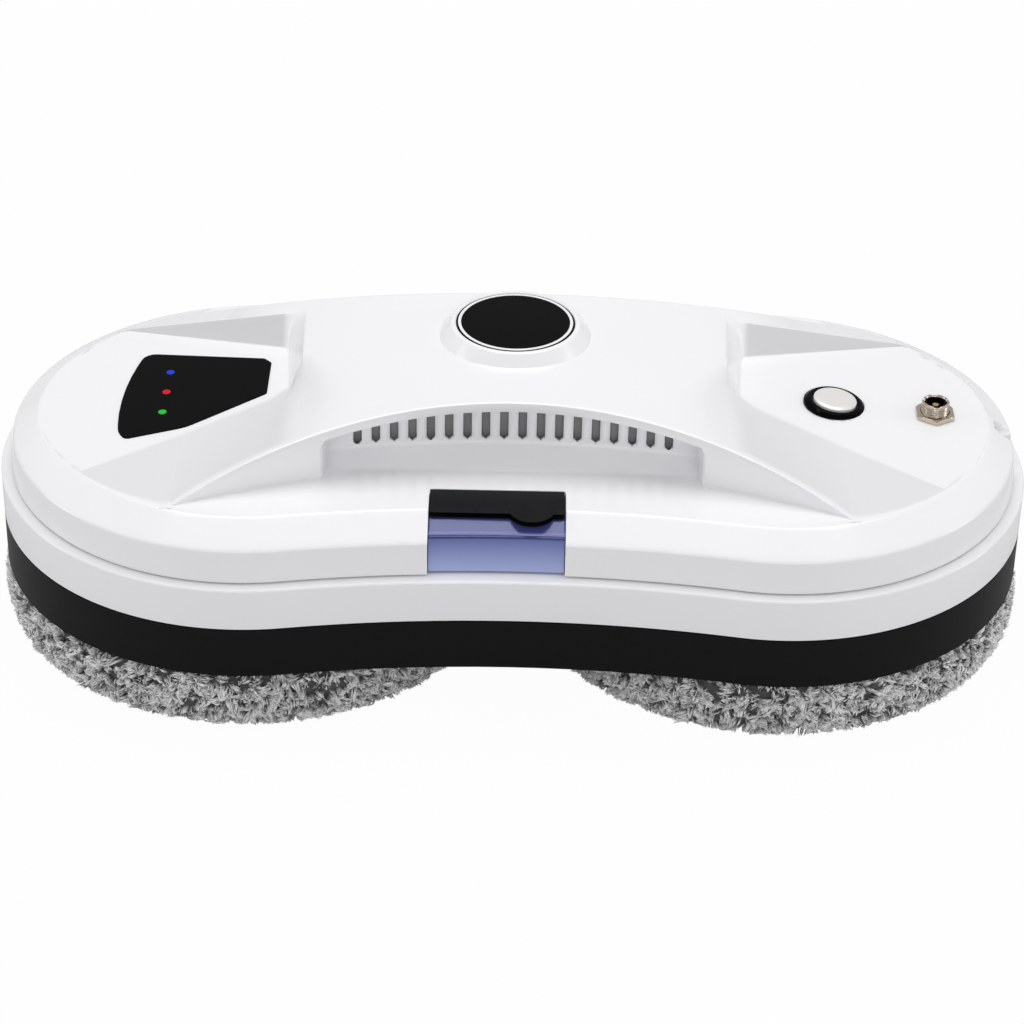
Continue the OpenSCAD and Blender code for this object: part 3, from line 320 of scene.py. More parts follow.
def outline_at(x, inset, border):
    """Plan points of the outline at an inset, for the columns that stand at x where the inset is border.

    On a round end the point slides along its radius. On the waist it keeps its share of the way to the end,
    and near the middle it keeps x, so that the window's sides stay straight.
    """
    a, s = np.abs(x), np.sign(x)
    meet_x = LOBE_X - (LOBE_R - border) * MEET
    turn = np.arcsin(np.clip((a - LOBE_X) / (LOBE_R - border), -1, 1))
    end_x = LOBE_X + (LOBE_R - inset) * np.sin(turn)
    end_y = (LOBE_R - inset) * np.cos(turn)
    grow = (WAIST_R + inset) / (WAIST_R + border)
    slide = np.clip((a - STRAIGHT_X) / (meet_x - STRAIGHT_X), 0, 1)
    mid_x = a * (1 + (grow - 1) * slide)
    mid_y = WAIST_Y - np.sqrt((WAIST_R + inset) ** 2 - np.minimum(mid_x, 100) ** 2)
    on_waist = a <= meet_x
    return s * np.where(on_waist, mid_x, end_x), np.where(on_waist, mid_y, end_y)


def arch(x):
    """Height of the crown: an arc of radius ARCH_R whose top is CROWN_Z."""
    return CROWN_Z - ARCH_R + np.sqrt(ARCH_R ** 2 - x ** 2)


def crown_edge(x):
    """Half of the crown's depth: an arc of radius EDGE_R that starts at CROWN_HALF and opens outwards."""
    return CROWN_HALF + EDGE_R - np.sqrt(EDGE_R ** 2 - np.minimum(np.abs(x), 110) ** 2)


def panel(x):
    """Height of a side panel, which falls evenly to the rim."""
    return np.maximum(RIM_Z + PANEL_SLOPE * (PANEL_X - np.abs(x)), RIM_Z)


print("waist arc radius", round(WAIST_R, 1))

# %% [markdown]
# ## The top cover
# The real cover is one glossy moulding: an arched crown, four straps, two sunk panels with a slanted
# wall, and an air scoop with 18 vents at the front and the rear. It is made as cross sections that are
# carried along the robot. Every section has the same number of points, so a wall in one section may
# become a hollow in the next. The columns stand where the form needs them, and evenly in angle round the ends.

# %% Columns along the robot
VENT_COUNT, VENT_PITCH, VENT_HALF = 18, 5.1, 1.2
VENT_X = (np.arange(VENT_COUNT) - (VENT_COUNT - 1) / 2) * VENT_PITCH
WINDOW, WINDOW_EDGE = (-22.7, 14.8), 0.3
DECK_IN = RIM_IN + 0.42
COLUMN_GAP = 2.8


def filled(stops, gap):
    """The stops in order, with evenly spaced ones between two that are more than gap apart."""
    stops = np.unique(np.round(stops, 3))
    spans = [np.linspace(a, b, max(int(np.ceil((b - a) / gap)), 1) + 1)[:-1] for a, b in zip(stops[:-1], stops[1:])]
    return np.concatenate(spans + [stops[-1:]])


end_turns = np.radians(np.concatenate([np.linspace(-10.2, 84, 31), np.linspace(84.6, 90, 12)]))
half = np.concatenate([
    LOBE_X + (LOBE_R - DECK_IN) * np.sin(end_turns),
    np.arange(36, 59, 1.5), [50.6, 51.2, 51.5, 51.8, 52.1, 52.4, 53.0],  # end of the scoop
    np.arange(59.7, 69.01, 0.35),  # wall beside a panel
    np.arange(83, 102, 1.1), [91.0, 92.0, 92.9, 93.8, 94.7, 95.6]])  # round the button
XS = filled(np.concatenate([
    half, -half, VENT_X - VENT_HALF, VENT_X, VENT_X + VENT_HALF, WINDOW,
    [WINDOW[0] - WINDOW_EDGE, WINDOW[1] + WINDOW_EDGE]]), COLUMN_GAP)
print(len(XS), "columns")

# %% [markdown]
# Two stacks of rows are blended at each column: one goes up a plain wall, the other into the scoop. The
# blend is a smooth step, which turns the scoop's end into a short curved cheek, as the moulding has it.


# %% Rows from the rim over the deck to the crown's edge
def mix(a, b, t):
    """The point t of the way from a to b."""
    return a + (b - a) * t


def step(t):
    """A smooth step from 0 to 1: three t squared less two t cubed."""
    t = np.clip(t, 0, 1)
    return t * t * (3 - 2 * t)


LIP, SCOOP_BACK, SCOOP_END = 3.0, 27.0, 51.3  # height of the lip, depth and half width of the scoop
WINDOW_ROW, VENT_ROWS = 3, (13, 16)  # the deck's rows where the window and the vents lie


def flank_rows(x):
    """Distance from the middle line and height of each row, from the rim up to the crown's edge.

    The deck's own rows come first: near the middle they sink towards the tank's window. Then the plain wall
    is mixed with the scoop's floor, back wall, roof and lip.
    """
    a = np.abs(x)
    rim = outline_at(x, DECK_IN, DECK_IN)[1]
    edge = np.minimum(crown_edge(x), rim)
    top = np.maximum(arch(x), RIM_Z)
    tall = top - RIM_Z
    small = np.clip(tall / 3, 0, 1)
    room = np.clip((rim - edge) / 1.6, 0, 1)
    wall = [(edge + 1.2 * room, RIM_Z), (edge + 0.4 * room, RIM_Z + 0.04 * small),
            (edge + 0.06 * room, RIM_Z + 0.35 * small)]
    wall += [(edge, RIM_Z + tall * f) for f in np.linspace(0.14, 0.86, 15)]
    wall += [(edge - 0.02 * small, top - 0.5 * small), (edge - 0.18 * small, top - 0.18 * small),
             (edge - 0.5 * small, top - 0.02 * small), (edge - 0.9 * small, top)]
    lip, back = arch(x) - LIP, SCOOP_BACK
    vent_top = lip - 1.3
    fall = 2.6 * np.clip(a / 45, 0, 1.15) ** 2
    vent_foot = 70.0 - fall
    slope = ((34.0, RIM_Z), (33.3, RIM_Z + 0.08), (32.7, 62.4), (30.0, 65.1), (28.0, 67.1), (27.35, 67.85),
             (27.05, 68.5))
    scoop = [(y, z - fall * np.clip((z - RIM_Z) / 5, 0, 1)) for y, z in slope]
    scoop += [(back, z) for z in (69.3 - fall, vent_foot, mix(vent_foot, vent_top, 0.5), vent_top, lip - 0.6)]
    scoop += [(27.15, lip - 0.2), (27.6, lip), (edge - 0.8, lip), (edge - 0.2, lip + 0.08), (edge, lip + 0.5),
              (edge, lip + 1.5), (edge, top - 0.5), (edge - 0.18, top - 0.18), (edge - 0.5, top - 0.02),
              (edge - 0.9, top)]
    open_up = 1 - step((a - SCOOP_END) / 1.4)
    rows = [(mix(wy, sy, open_up), mix(wz, sz, open_up)) for (wy, wz), (sy, sz) in zip(wall, scoop)]
    foot = rows[0][0]
    near = step((40 - a) / 12)
    deck_lines = [rim, rim - 0.35 * room] + [
        mix(mix(rim, foot, share), y, near) for share, y in ((0.35, 46.5), (0.6, 42.6), (0.68, 42.2), (0.85, 38.0))]
    return [(y, np.full_like(y, RIM_Z)) for y in deck_lines] + rows


# %% [markdown]
# The crown passes into each panel in two ways: a steep slanted wall stands beside the panel, and a long
# strap runs down in front of it. Each row carries where that fall starts, where it ends and how soft its
# ends are, so one formula gives both.


# %% Rows over the crown, straps and panels
def ramp(t, soft):
    """0 to 1 with a straight middle and rounded ends, each soft of the way."""
    t = np.clip(t, 0, 1)
    m = 1 / (1 - soft)
    start, end = m * t * t / (2 * soft), 1 - m * (1 - t) ** 2 / (2 * soft)
    return np.where(t < soft, start, np.where(t > 1 - soft, end, m * (t - soft / 2)))


WALL_PROFILE = ((0, 0), (0.03, 0.012), (0.08, 0.06), (0.3, 0.295), (0.55, 0.555), (0.8, 0.81), (0.93, 0.945),
                (0.98, 0.99), (1.03, 1.0))  # way across the slanted wall, and the share of its height


def crown_rows(x, edge, top):
    """Place and height of each row from the front edge of the crown to its rear edge.

    The lines over a panel are its crease, the foot and the top of its slanted wall.
    """
    a = np.abs(x)
    rim = outline_at(x, DECK_IN, DECK_IN)[1]
    at = np.maximum(a, 62)
    crease = -6.5 - 0.754 * (np.maximum(a, 66) - 78.6) + 3.4 * step((70 - at) / 6)
    foot = mix(18, 28.6 + 0.271 * (at - 68.6), step((a - 30) / 30))
    crest = mix(24, 36.0 + 0.12 * (at - 68), step((a - 30) / 30))
    crease, foot, crest = (np.clip(line, -rim, rim) for line in (crease, foot, crest))
    crest = np.minimum(crest, edge)
    foot = np.minimum(foot, crest)
    plate, high = panel(x), np.maximum(72 - (at - 68) * 0.204, panel(x))
    rows = []
    for s in np.concatenate([[0, 0.03], np.linspace(0.09, 1, 15)]):
        y, late = mix(-edge, crease, s), s ** 3
        rows.append((y, mix(top, plate, s), mix(44, 60.6, late), mix(68, 65.2, late), mix(0.5, 0.1, late)))
    for p in np.linspace(0, 1, 34)[1:-1]:
        y = mix(crease, foot, p)
        rows.append((y, plate, 60.5 + 0.03 * (y - 2), 65.2 + 0.07 * (y - 8.3), 0.1))
    for u, rise in WALL_PROFILE:
        rows.append((mix(foot, crest, u), mix(plate, high, rise), 61.3, 67.2, 0.1))
    for q in np.concatenate([np.linspace(0.08, 0.9, 6), [0.96, 1]]):
        rows.append((mix(crest, edge, q), mix(high, top, q), 61.3, 67.2, 0.1))
    placed = []
    for y, low, begin, end, soft in rows:
        t = ramp((a - begin) / (end - begin), soft * np.ones_like(a))
        placed.append((np.clip(y, -edge, edge), np.where(a > 90, low, mix(arch(x), low, t))))
    return placed


# %% [markdown]
# The rows over the deck, the crown and the deck again make one long section. Below the rim the case has
# two facets and a small ledge: the outline at other insets and heights. The nozzle looks out of a small
# pocket in the right end.


# %% Put the rows together and carry the facets round the rim
flank = flank_rows(XS)
edge, top = flank[-1]
front = [(-y, z) for y, z in flank]
rear = [(y, z) for y, z in flank[::-1]]
section = front + crown_rows(XS, edge, top)[1:-1] + rear
Y, Z = (np.stack([row[k] for row in section]) for k in (0, 1))
rows, cols = Y.shape
deck = np.stack([np.broadcast_to(XS, Y.shape), Y, Z], -1)

LEDGE_Z = STEP_Z + 0.45
FACET = rounded([(20, RIM_Z), (RIM_IN, RIM_Z), (SHOULDER_IN, SHOULDER_Z), (STEP_IN, LEDGE_Z), (STEP_IN + 2.4, LEDGE_Z)],
                [0, 1.6, 1.3, 0.25, 0], 4)[2:]
between = np.stack([mix(FACET[3], FACET[4], t) for t in np.linspace(0.1, 0.9, 7)])
FACET = np.concatenate([FACET[:4], between, FACET[4:]])
NOTCH_Z, NOTCH_R, NOTCH_FLAT, NOTCH_FROM = 58.2, 3.1, 136.5, 133
END_FROM, END_OVER, END_GROW = 118, 18, 2


def notched(points):
    """Pushes a round pocket into the right end: inside its circle x goes back to a flat, by a smooth step."""
    depth = step((NOTCH_R - np.hypot(points[..., 1], points[..., 2] - NOTCH_Z)) / 0.7)
    x = points[..., 0]
    points[..., 0] = np.where(x > NOTCH_FROM, mix(x, np.minimum(x, NOTCH_FLAT), depth), x)
    return points


bands = []
for inset, height in FACET:
    px, py = outline_at(XS, inset, DECK_IN)
    bands.append(np.stack([px, py, np.full_like(px, height)], -1))
bands = notched(np.stack(bands))
front_bands = bands * (1, -1, 1)
points = np.concatenate([deck.reshape(-1, 3), front_bands.reshape(-1, 3), bands.reshape(-1, 3)])

# The rim reaches a little further out at both ends: x grows by a smooth step, in full at the rim's height.
reach = step((np.abs(points[:, 0]) - END_FROM) / END_OVER)
raised = np.clip((points[:, 2] - SHOULDER_Z) / 5.3, 0, 1)
points[:, 0] += np.sign(points[:, 0]) * END_GROW * reach * raised

# %% Paint shade on the slanted walls and straps
# Painted shade: the slanted walls beside the panels and the straps in front of them lie in more shade than the panels,
# so the tone darkens their white.
WALL_ROWS, STRAP_ROWS, STRAP_PAINTED_SHADE = slice(78, 84), slice(29, 43), 0.55
tone = np.zeros((rows, cols))
tone[WALL_ROWS] = step((np.abs(XS) - 66.5) / 2.5)
tone[STRAP_ROWS] = STRAP_PAINTED_SHADE * step((np.abs(XS) - 60) / 6)
tone = np.concatenate([tone.ravel(), np.zeros(len(points) - tone.size)])
print("painted_shade points:", int((tone > 0).sum()))

# %% [markdown]
# The vents, the tank's window and the button's hole are faces that are left out of the grid. A Solidify
# modifier then gives the shell its wall, so each opening shows the thickness of the plastic.

# %% Faces of the cover
BUTTON_X, BUTTON_Y, BUTTON_HOLE, POINTED = 92.2, 5.0, 8.2, 0.9
count = len(FACET)
deck_index = np.arange(rows * cols).reshape(rows, cols)
front_rows, rear_rows = rows * cols + np.arange(2 * count * cols).reshape(2, count, cols)
front_index = np.concatenate([deck_index[:1], front_rows])
rear_index = np.concatenate([deck_index[-1:], rear_rows])
upper_vents = (rows - 1 - VENT_ROWS[1], rows - 1 - VENT_ROWS[0])
deck_quads, front_quads, rear_quads = quads(deck_index), quads(front_index)[..., ::-1], quads(rear_index)
middle = (XS[:-1] + XS[1:]) / 2
in_window = (middle > WINDOW[0]) & (middle < WINDOW[1])
in_vent = np.abs(middle[:, None] - VENT_X).min(1) < VENT_HALF
keep = np.ones(deck_quads.shape[:2], bool)
keep[:WINDOW_ROW, in_window] = False
for low, high in (VENT_ROWS, upper_vents):
    keep[low:high, in_vent] = False
centre = points[deck_quads].mean(2)
keep &= np.hypot(centre[..., 0] - BUTTON_X, centre[..., 1] - BUTTON_Y) > BUTTON_HOLE
keep_front = np.ones(front_quads.shape[:2], bool)
keep_front[:, in_window] = False
faces = np.concatenate([deck_quads[keep], front_quads[keep_front], rear_quads.reshape(-1, 4)])

# The lower end of each vent is pointed: the nearer a column is to the slot's middle, the lower it starts.
point_down = POINTED * np.clip(1 - np.abs(XS[:, None] - VENT_X).min(1) / VENT_HALF, 0, 1)
for row in (VENT_ROWS[0], rows - 1 - VENT_ROWS[0]):
    points[deck_index[row], 2] -= point_down

# The cover carries the painted shade mask as its tone.
cover = make_piece("cover", points, faces, "housing", COVER_PAINTED_SHADE_WHITE, ["top_cover"], sharp=34,
                   outward=False, tone=tone)
shell = cover.modifiers.new("wall", "SOLIDIFY")
shell.thickness = 2.0 * MM
shell.offset = -1

# %% [markdown]
# Behind each row of vents stands a plain baffle: an upright strip under the arch. Its grey is painted
# shade, for the shaded inside that shows through the vents.

# %% Baffles behind the vents
BAFFLE_HALF, BAFFLE_FRONT, BAFFLE_BACK, BAFFLE_FOOT, UNDER_ARCH = 49, 24.3, 23.3, 64.0, 3.4
for name, side in (("baffle_front", -1), ("baffle_rear", 1)):
    run = np.linspace(-BAFFLE_HALF, BAFFLE_HALF, 50)
    strip = [np.stack([run, 0 * run + side * y, np.where(high, arch(run) - UNDER_ARCH, BAFFLE_FOOT)], 1)
             for y, high in ((BAFFLE_FRONT, 0), (BAFFLE_FRONT, 1), (BAFFLE_BACK, 1), (BAFFLE_BACK, 0))]
    make_piece(name, np.stack(strip), grid_faces(4, len(run), loop_rows=True), "housing", BAFFLE_PAINTED_SHADE)

# %% [markdown]
# ## The white ring and its ledge
# Under the cover lies a plain white ring. A narrow ledge shows above it, then a thin dark gap, then the
# cover. It is a profile carried round the outline, closed into a ring.

# %% The ring
RING_FOOT, LEDGE_BACK, RING_WALL = RING_Z + 0.25, 6.6, 2.6


def round_outline(inset, height):
    """Closed line of the outline at an inset and height, evenly stepped in angle on the ends and along the waist."""
    turn = np.radians(np.linspace(-10.28, 190.28, 120))
    right = np.stack([LOBE_X + (LOBE_R - inset) * np.sin(turn), -(LOBE_R - inset) * np.cos(turn)], 1)
    across = np.linspace(1, -1, 60)[1:-1] * (LOBE_X - (LOBE_R - inset) * MEET)
    back = np.stack([across, WAIST_Y - np.sqrt((WAIST_R + inset) ** 2 - across ** 2)], 1)
    line = np.concatenate([right, back, -right, -back])
    return np.column_stack([line, np.full(len(line), height)])


ring_profile = rounded([(0, RING_FOOT), (0, STEP_Z), (LEDGE_BACK, STEP_Z + 0.1), (LEDGE_BACK, 44.5), (RING_WALL, 43.5),
                        (RING_WALL, RING_FOOT)], [0.3, 0.7, 0.2, 0.2, 0.2, 0.2], 4, True)
ring_lines = np.stack([round_outline(inset, height) for inset, height in ring_profile])
make_piece("ring", ring_lines, grid_faces(*ring_lines.shape[:2], True, True), "housing", WHITE,
           ["middle_ring"])

# %% [markdown]
# ## The badge
# A white boss stands on the crown and carries a black glossy disc with a thin white line near its edge.
# All three are turned shapes on one upright axis.

# %% Boss, disc and line
BADGE = (0, 8.5, 0)
boss = rounded([(17.0, 81.0), (22.6, 80.4), (21.4, 82.3), (18.4, 86.1), (17.35, 86.35), (17.0, 86.0), (17.0, 85.0)],
               [0, 0, 1.2, 0.9, 0.3, 0.15, 0], 5)
lathe("badge_rim", boss, BADGE, "housing", WHITE, ["badge_boss"], 160)
disc = [(0, 86.22), (6, 86.21), (12, 86.18), (15.4, 86.13), (15.6, 86.13), (16.5, 86.09), (16.85, 85.95),
        (16.95, 85.2), (0, 85.0)]

lathe("badge_disc_gloss", disc, BADGE, "housing", GLOSS, ["badge_disc"], 160, sharp=60)
line = rounded([(15.55, 86.0), (15.55, 86.26), (16.4, 86.22), (16.4, 86.0)], [0, 0.08, 0.08, 0], 3, True)
lathe("badge_line", line, BADGE, "housing", WHITE, ["badge_ring"], 160)

# %% [markdown]
# ## The indicator lens and its lights
# The lens is a thin black plate with rounded corners that lies on the left panel. Its outline is a rounded
# polygon that shrinks in rings to its middle. Three small domes are the lights.

# %% The lens and the lights
LENS_SIZE, LENS_CORNER, LENS_LIFT, LIGHT_X = (41.6, 48), (-112.6, -21), 0.3, -100.0
LENS_SHARES = np.array([[0.1, 1], [0.95, 0.91], [1, 0.86], [1, 0.49], [0.48, 0.12], [0.08, 0]]
                       + [[0.26 * (h - 0.38) ** 2, h] for h in (0.08, 0.18, 0.3, 0.44, 0.58, 0.72, 0.86)])
DOME = ((0, 0.16), (0.5, 0.15), (0.95, 0.1), (1.25, 0.02), (1.3, -0.2), (1.3, -1.5), (0, -1.5))

lens_plan = rounded(LENS_SHARES * LENS_SIZE + LENS_CORNER, [4, 1.6, 1.6, 1.4, 14, 1.8] + [25] * 7, 6, True)
lens_middle = lens_plan.mean(0)
lens_rings = []
for share, lift in ((1, -0.6), (1, 0.12), (0.996, 0.24), *((s, LENS_LIFT) for s in (0.99, 0.97, 0.8, 0.55, 0.3, 0))):
    ring = lens_middle + (lens_plan - lens_middle) * share
    lens_rings.append(np.column_stack([ring, panel(ring[:, 0]) + lift]))
make_piece("lens", np.stack(lens_rings), grid_faces(len(lens_rings), len(lens_plan), loop_cols=True)[:, ::-1],
           "housing", GLOSS, ["indicator_lens"])
lens_top = float(panel(np.array(LIGHT_X))) + LENS_LIFT
for name, y, light in (("led_blue", 15.6, BLUE_LIGHT), ("led_red", 4.4, RED_LIGHT), ("led_green", -6.8, GREEN_LIGHT)):
    lathe(name + "_dome", [(r, lens_top + rise) for r, rise in DOME], (LIGHT_X, y, 0), "housing", light,
          [name], 32, sharp=60)

# %% [markdown]
# ## The power button
# A gloss black ring with a rounded slope holds a satin silver cap. The panel falls towards the rim, so both
# lean with it. The cap rides on its own body, because it moves down when it is pressed.

# %% Ring and cap
LEAN = math.radians(6.5)
button_at = (BUTTON_X, BUTTON_Y, float(panel(np.array(BUTTON_X))))

bezel = rounded([(6.36, -9.4), (6.36, 0.9), (6.9, 1.3), (7.9, 1.2), (9.0, 0.35), (9.0, -0.8), (7.8, -0.8), (7.8, -9.4)],
                [0, 0.2, 0.3, 0.5, 0.3, 0.1, 0, 0], 5, True)
bezel = np.concatenate([bezel, bezel[:1]])
lathe("button_ring", bezel, button_at, "housing", GLOSS, ["button_housing"], 128, LEAN)
cap = rounded([(0, 2.05), (5.2, 2.1), (6.28, 1.75), (6.28, -3), (1.5, -3), (1.5, -5.6), (0, -5.6)],
              [0, 1.2, 0.35, 0.1, 0, 0, 0], 5)
lathe("button_cap", cap, button_at, "button", SILVER, ["power_button"], 128, LEAN)

# %% [markdown]
# ## The power inlet
# A nickel barrel with a fine thread comes up through a flat hexagon nut. The thread is the barrel's radius
# made larger and smaller by a wave that climbs with the angle. The nut's side follows a hexagon, and its
# corners are cut by a cone.

# %% Barrel, lining and nut
JACK = np.array([120.9, 2.1])
THREAD_R, THREAD_DEPTH, PITCH, BARREL_TOP = 3.98, 0.36, 0.75, 66.15
NUT_R, NUT_FOOT, NUT_HEAD, NUT_CONE = 6.15, 61.75, RIM_Z + 1.5, 5.55


def round_jack(w, rows):
    """Rings round the inlet's axis at the angles w; a radius or a height may change with the angle."""
    return np.stack([np.stack([r * np.cos(w), r * np.sin(w), z + 0 * w], 1) for r, z in rows]) + np.append(JACK, 0)


def barrel(around):
    """The thread's radius less a saw wave of height over pitch less turns; then the mouth, the bore and its floor."""
    w = angles(around)
    heights = np.linspace(59.5, BARREL_TOP, 70)
    wave = np.abs(((heights[:, None] / PITCH - w / (2 * math.pi)) % 1) * 2 - 1)
    fade = np.clip((BARREL_TOP - heights) / 0.5, 0, 1)[:, None]
    thread = THREAD_R - THREAD_DEPTH * wave * fade - 0.05 * (1 - fade)
    notches = 0.35 * step((0.55 - np.abs(np.sin(w * 2))) / 0.2)
    mouth = [(r, z - notches) for r, z in ((3.8, 66.52), (3.55, 66.6), (3.3, 66.56), (3.12, 66.3))]
    return round_jack(w, [*zip(thread, heights), *mouth, (3.0, 65.7), (3.0, 60.0), (2.9, 54.6), (0, 54.5)])


def hexagon_nut(around):
    """Side radius is the hexagon's apothem over the cosine of the angle from the nearest flat; a cone cuts it."""
    w = angles(around)
    side = NUT_R * math.cos(math.radians(30)) / np.cos((w + math.pi / 6) % (math.pi / 3) - math.pi / 6)
    cone = np.clip((side - NUT_CONE) * 0.7, 0, 1)
    return round_jack(w, [
        (4.0, NUT_FOOT), (side - 0.15, NUT_FOOT), (side, NUT_FOOT + 0.15), (side, NUT_HEAD - 0.1 - cone),
        (side - 0.06, NUT_HEAD - 0.02 - cone), (np.minimum(side - 0.1, 5.5), NUT_HEAD), (4.35, NUT_HEAD),
        (4.0, NUT_HEAD - 0.3)])


shape = barrel(96)
make_piece("inlet_barrel", shape, grid_faces(*shape.shape[:2], loop_cols=True)[:, ::-1], "housing", NICKEL,
           ["dc_jack"])
lining = [(2.98, 55), (2.98, 66.2), (2.5, 66.2), (2.5, 55), (2.98, 55)]
lathe("inlet_lining", lining, (*JACK, 0), "housing", GLOSS, (), 48)
shape = hexagon_nut(144)
make_piece("inlet_nut", shape, grid_faces(*shape.shape[:2], True, True), "housing", NICKEL, ["jack_nut"],
           sharp=25)

# %% [markdown]
# ## The water tank and its lid
# The tank is a clear blue violet moulding that follows the case under a black lid. Its colour is deeper near
# the top, where two walls lie behind each other. Fully clear walls would need the inside to be lit, so its
# colour is a run of tints over the height on a gloss surface that lets a little light through. The run also
# holds a painted highlight along the small ledge and a painted shade line just below it.

# %% The tank's finish
TINT_FROM, TINT_TO = 0.0465, 0.0602  # heights in metres
# Painted light in the run: the bright stop at 0.82 is a painted highlight along the small ledge, and the dark stops at
# 0.765 and 0.8 are a painted shade line just below it.
TINTS_AND_LEDGE_LIGHT = ((0.0, (0.20, 0.20, 0.42)), (0.06, (0.48, 0.55, 0.92)), (0.45, (0.30, 0.36, 0.70)), (0.73, (0.16, 0.20, 0.50)),
         (0.765, (0.03, 0.035, 0.18)), (0.8, (0.05, 0.06, 0.24)), (0.82, (0.38, 0.41, 0.84)),
         (0.86, (0.08, 0.095, 0.33)), (1.0, (0.07, 0.085, 0.30)))


def tank_finish():
    """Tinted plastic that lets part of the light through; its colour changes with the height on the piece, with a
    painted highlight and a painted shade line at the ledge.
    """
    material, tree, shader = new_material("tank_plastic", Roughness=0.16, IOR=1.49, Transmission_Weight=0.12)
    place, parts, height, tint_and_ledge_light = (tree.nodes.new("ShaderNode" + kind)
                                  for kind in ("TexCoord", "SeparateXYZ", "MapRange", "ValToRGB"))
    feed(tree, (parts.inputs["Vector"], place.outputs["Object"]), (height.inputs["Value"], parts.outputs["Z"]),
         (height.inputs["From Min"], TINT_FROM), (height.inputs["From Max"], TINT_TO),
         (tint_and_ledge_light.inputs["Fac"], height.outputs["Result"]), (shader.inputs["Base Color"], tint_and_ledge_light.outputs["Color"]))
    bar = tint_and_ledge_light.color_ramp
    while len(bar.elements) < len(TINTS_AND_LEDGE_LIGHT):
        bar.elements.new(0.5)
    for element, (position, colour) in zip(bar.elements, TINTS_AND_LEDGE_LIGHT):
        element.position = position
        element.color = (*colour, 1)
    relief(tree, noise(tree, 300.0), 0.05, 0.0003)
    return material


TANK = tank_finish()
print("tank tints:", len(TINTS_AND_LEDGE_LIGHT))

# %% [markdown]
# The tank's face has a narrow upper band, a small ledge and a tall lower face. Its section lies on the waist's
# arc, so it is written as inset and height and carried along x; the last sections shrink to close the ends.

# %% The tank
FACE_MIDDLE = np.array([14.0, 48.5])
tank_face = rounded([(22.5, 59.9), (11.0, 59.9), (7.6, 58.35), (6.8, 58.05), (6.7, 57.35), (6.3, 57.2), (5.2, 52.5),
                     (4.4, 47.3), (4.9, 46.9), (7.0, 46.8), (7.0, 37.2), (22.5, 37.2)],
                    [0, 0.4, 0.25, 0.2, 0.2, 0.2, 8, 0.3, 0.2, 0.3, 1, 0], 4, True)
tank_x = np.concatenate([[-22.62, -22.62, -22.5], np.linspace(-22.1, 14.2, 24), [14.6, 14.72, 14.72]])
tank_shares = np.concatenate([[0, 0.92, 0.985], np.ones(24), [0.985, 0.92, 0]])
tank_columns = []
for x, share in zip(tank_x, tank_shares):
    inset, z = (FACE_MIDDLE + (tank_face - FACE_MIDDLE) * share).T
    y = -(WAIST_Y - np.sqrt((WAIST_R + inset) ** 2 - x ** 2))
    tank_columns.append(np.stack([np.full_like(y, x), y, z], 1))
make_piece("tank", np.stack(tank_columns), grid_faces(len(tank_x), len(tank_face), loop_cols=True), "housing", TANK,
           ["water_tank"])

# %% [markdown]
# The lid is a thin plate whose front edge swells into a round tab for a finger: a rounded oblong between a
# back line and a front line. It rides on its own body, because it swings up on its pin.

# %% The lid
LID_LEFT, LID_RIGHT, LID_BACK, LID_FRONT, LID_ROUND = -22.5, 14.6, 43.1, 54.8, 1.3
LID_FOOT, LID_TOP, TAB_X, TAB_Y, TAB_R = 60.25, 62.0, 5.5, 52.6, 6.3


def lid_points():
    """Sections along x; the front is the further of the straight edge and the tab's circle."""
    ends = [LID_LEFT, LID_LEFT + 0.2, LID_LEFT + 0.6, LID_RIGHT, LID_RIGHT - 0.2, LID_RIGHT - 0.6]
    tab_ends = [TAB_X - TAB_R, TAB_X, TAB_X + TAB_R]
    x = filled(np.concatenate([ends, tab_ends, np.linspace(tab_ends[0] + 0.05, tab_ends[2] - 0.05, 45)]), 1.2)
    gone = np.clip(LID_ROUND - np.minimum(x - LID_LEFT, LID_RIGHT - x), 0, LID_ROUND)
    round_off = LID_ROUND - np.sqrt(np.clip(LID_ROUND ** 2 - gone ** 2, 0, None))
    tab = TAB_Y + np.sqrt(np.clip(TAB_R ** 2 - (x - TAB_X) ** 2, 0, None))
    back, front = -LID_BACK - 0.15 * round_off, -np.maximum(LID_FRONT - 0.35 * round_off, tab)
    share, z = rounded([(0, LID_FOOT), (0, LID_TOP), (1, LID_TOP), (1, 60.9), (1, LID_FOOT)],
                       [0.25, 0.25, 0.3, 0.1, 0.25], 3, True).T
    y = np.where(share > 0.5, front[:, None] + (1 - share), back[:, None] - share)
    sections = np.stack([np.broadcast_to(x[:, None], y.shape), y, np.broadcast_to(z, y.shape)], -1)
    left, right = (sections[i].mean(0) + 0 * sections[i] for i in (0, -1))
    return np.concatenate([left[None], sections, right[None]])


shape = lid_points()
make_piece("tank_cover", shape, grid_faces(*shape.shape[:2], loop_cols=True), "lid", LID, ["tank_lid"])

# %% [markdown]
# ## The cleaning pads
# Each pad is a soft ring of grey microfibre with a long pile, and the wheel's rim is tucked into it. Cloth and
# pile are rough and catch light at the edge of the form, so they get a sheen. The pile reads its shade from a
# number on its points: a random tone for each lock and strand, painted shade at the roots and a painted
# highlight at the tips.

# %% Fabric and pile finishes
# The dark end of both fleeces is near black, so that the gaps and roots of the pile read as painted shade.
FLEECE_DARK = (0.04, 0.04, 0.042)


